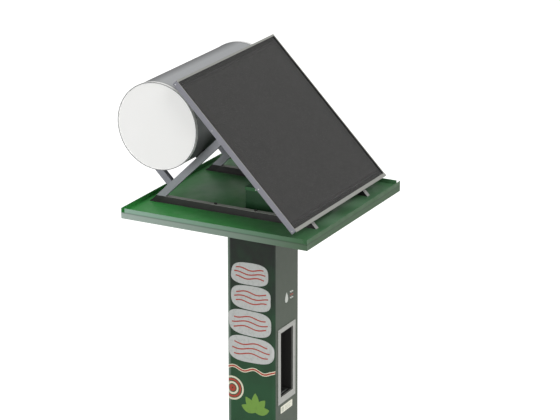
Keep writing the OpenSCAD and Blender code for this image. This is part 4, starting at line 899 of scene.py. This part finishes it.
# The painted reflection's streak follows the way a face is turned. before is 1 in front of the crown,
# behind is 1 down the rear, and between them, where both are low, the dark reflection is painted in.
before = add_node(tree, "ShaderNodeMapRange", {"Value": turned_to.outputs["Y"], "From Min": 0.42,
                                               "From Max": -0.03, "To Min": 0.1, "To Max": 1.0})
behind = add_node(tree, "ShaderNodeMapRange", {"Value": turned_to.outputs["Y"], "From Min": 0.62,
                                               "From Max": 0.95, "To Min": 0.1, "To Max": 1.0})
streak = add_node(tree, "ShaderNodeMath", {0: before.outputs["Result"], 1: behind.outputs["Result"]},
                  operation="MAXIMUM")
# Painted shade: the tone darkens to a fifth on faces turned downward.
under = add_node(tree, "ShaderNodeMapRange", {"Value": turned_to.outputs["Z"], "From Min": -0.5,
                                              "From Max": 0.25, "To Min": 0.2, "To Max": 1.0})
grime_and_shade = add_node(tree, "ShaderNodeMath", {0: streak.outputs[0], 1: under.outputs["Result"]},
                 operation="MULTIPLY")
shaded_tone = add_node(tree, "ShaderNodeVectorMath", {0: unshaded, "Scale": grime_and_shade.outputs[0]}, operation="SCALE")
tree.links.new(shaded_tone.outputs["Vector"], shader.inputs["Base Color"])
dress(shell_paint, "tank_shell")
cap_white = powder_coat("white pressed cap", "#F8F8F7", "#F3F3F1", peel_mm=7, rough=(0.3, 0.38), cloud_mm=350,
                        sheen=0.3)
dress(cap_white, "tank_cap_left", "tank_cap_right")
dress(powder_coat("vessel enamel", "#64748A", "#566579"), "inner_vessel")
dress(zinc("cast magnesium anode", "#9D9F9C", "#8C8E8B"), "anode")
dress(moulded("pipe insulation", "#302D2B", "#272523", grain_mm=3, rough=(0.75, 0.9)), "flow_pipe",
      "return_pipe")
hoop_steel = brushed("steel hoop", "#9FA2A3", "#8C8F90", grain_mm=2, metal=0.8)
rim_rubber = moulded("dark rim trim", "#8A8C8C", "#7E8080", grain_mm=2, rough=(0.5, 0.65))
trim_r, trim_in = 0.0022, 0.0002
shell_low, shell_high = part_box("tank_shell")
shell_r = (shell_high[1] - shell_low[1]) / 2
hoop_w, hoop_in, hoop_edge, hoop_gap = 0.006, 0.0003, 0.0004, 0.0005
hoop_r = rim_r - hoop_in
hoop_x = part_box("tank_cap_right")[0][0] - hoop_w - hoop_gap
cap_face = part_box("tank_cap_right")[1][0]
for i, side in enumerate((-1, 1)):
    hoop = [(shell_r - hoop_in, 0), (hoop_r, hoop_edge), (hoop_r, hoop_w - hoop_edge),
            (shell_r - hoop_in, hoop_w)]
    at = (side * hoop_x, tank_y, tank_z)
    shell(f"tank_hoop_{i}", turned(hoop, at, (side, 0, 0), sides=128), hoop_steel, around=True, along=True)
    turn = np.linspace(0, 2 * np.pi, 10, endpoint=False)
    bead = np.stack([rim_r - trim_r - trim_in + trim_r * np.cos(turn), trim_r * np.sin(turn)], axis=-1)
    at = (side * cap_face, tank_y, tank_z)
    shell(f"rim_trim_{i}", turned(bead, at, (side, 0, 0), sides=128), rim_rubber, around=True, along=True)
# A union nut's row is its pipe, the pipe's y, its height over the tank's axis, and its radius.
union_h, union_gap, union_share = 0.014, 0.0003, 2.6
unions = [("cold_pipe", 0.451, -0.170, 0.008), ("hot_pipe", 0.401, 0.130, 0.008),
          ("return_pipe", 0.331, -0.170, 0.010)]
for name, y, above, radius in unions:
    at = (cap_face, y, round(tank_z, 3) + above)
    profile = nut_profile(union_share * radius, union_h, radius + union_gap)
    shell(f"union_{name}", turned(profile, at, (1, 0, 0), sides=6), cast_brass, around=True)

# Studio
# A pale floor and plain soft light. The camera sees the floor and the sky as plain white, and mirrors and
# glass show the floor white too. To all other light the floor is mid grey and the sky is dim and even.
floor_paint, tree, shader, place = new_material("pale floor", Roughness=0.9)
shader.inputs["Base Color"].default_value = linear("#A0A09E")
seen = add_node(tree, "ShaderNodeLightPath")
either = add_node(tree, "ShaderNodeMath", {0: seen.outputs["Is Camera Ray"],
                                           1: seen.outputs["Is Glossy Ray"]}, operation="MAXIMUM")
bright = add_node(tree, "ShaderNodeMath", {0: either.outputs[0], 1: seen.outputs["Is Transmission Ray"]},
                  operation="MAXIMUM")
shader.inputs["Emission Color"].default_value = (1, 1, 1, 1)
tree.links.new(bright.outputs[0], shader.inputs["Emission Strength"])
# The floor lies 0.5 mm under the base plate, so that the two faces don't share a plane.
floor_half = 60
floor_z = -0.0005
floor_grid = np.array([[(x, y, floor_z) for x in (-floor_half, floor_half)]
                       for y in (-floor_half, floor_half)], float)
floor_mesh = bpy.data.meshes.new("floor")
floor_mesh.from_pydata(floor_grid.reshape(-1, 3).tolist(), [], [(0, 1, 3, 2)])
floor_mesh.materials.append(floor_paint)
floor = bpy.data.objects.new("floor", floor_mesh)
bpy.context.scene.collection.objects.link(floor)
# A lamp's row is its name, its place, its side in metres and its watts. Each looks at lamp_aim.
lamp_aim = Vector((0, 0, 1.8))
lamps = [("key", (-2.5, -6.0, 8.5), 4.5, 300), ("side", (-9.0, 1.4, 3.8), 4.0, 365),
         ("rear", (1.5, 8.5, 3.5), 4.0, 100), ("top", (1.0, 2.5, 8.0), 4.0, 50),
         ("bounce", (-1.0, -6.0, 0.3), 4.0, 190)]
for name, at, size, watts in lamps:
    lamp_data = bpy.data.lights.new(name, "AREA")
    lamp_data.size = size
    lamp_data.energy = watts
    lamp = bpy.data.objects.new(name, lamp_data)
    lamp.rotation_euler = (lamp_aim - Vector(at)).to_track_quat("-Z", "Y").to_euler()
    lamp.location = at
    lamp.visible_camera = False
    bpy.context.scene.collection.objects.link(lamp)
world = bpy.data.worlds.new("studio")
world.use_nodes = True
sky = world.node_tree
seen = add_node(sky, "ShaderNodeLightPath")
level = add_node(sky, "ShaderNodeMapRange", {"Value": seen.outputs["Is Camera Ray"], "To Min": 0.40,
                                             "To Max": 1.0})
sky.links.new(level.outputs["Result"], sky.nodes["Background"].inputs["Strength"])
sky.nodes["Background"].inputs["Color"].default_value = (1, 1, 1, 1)
bpy.context.scene.world = world
bpy.context.scene.view_settings.view_transform = "Standard"
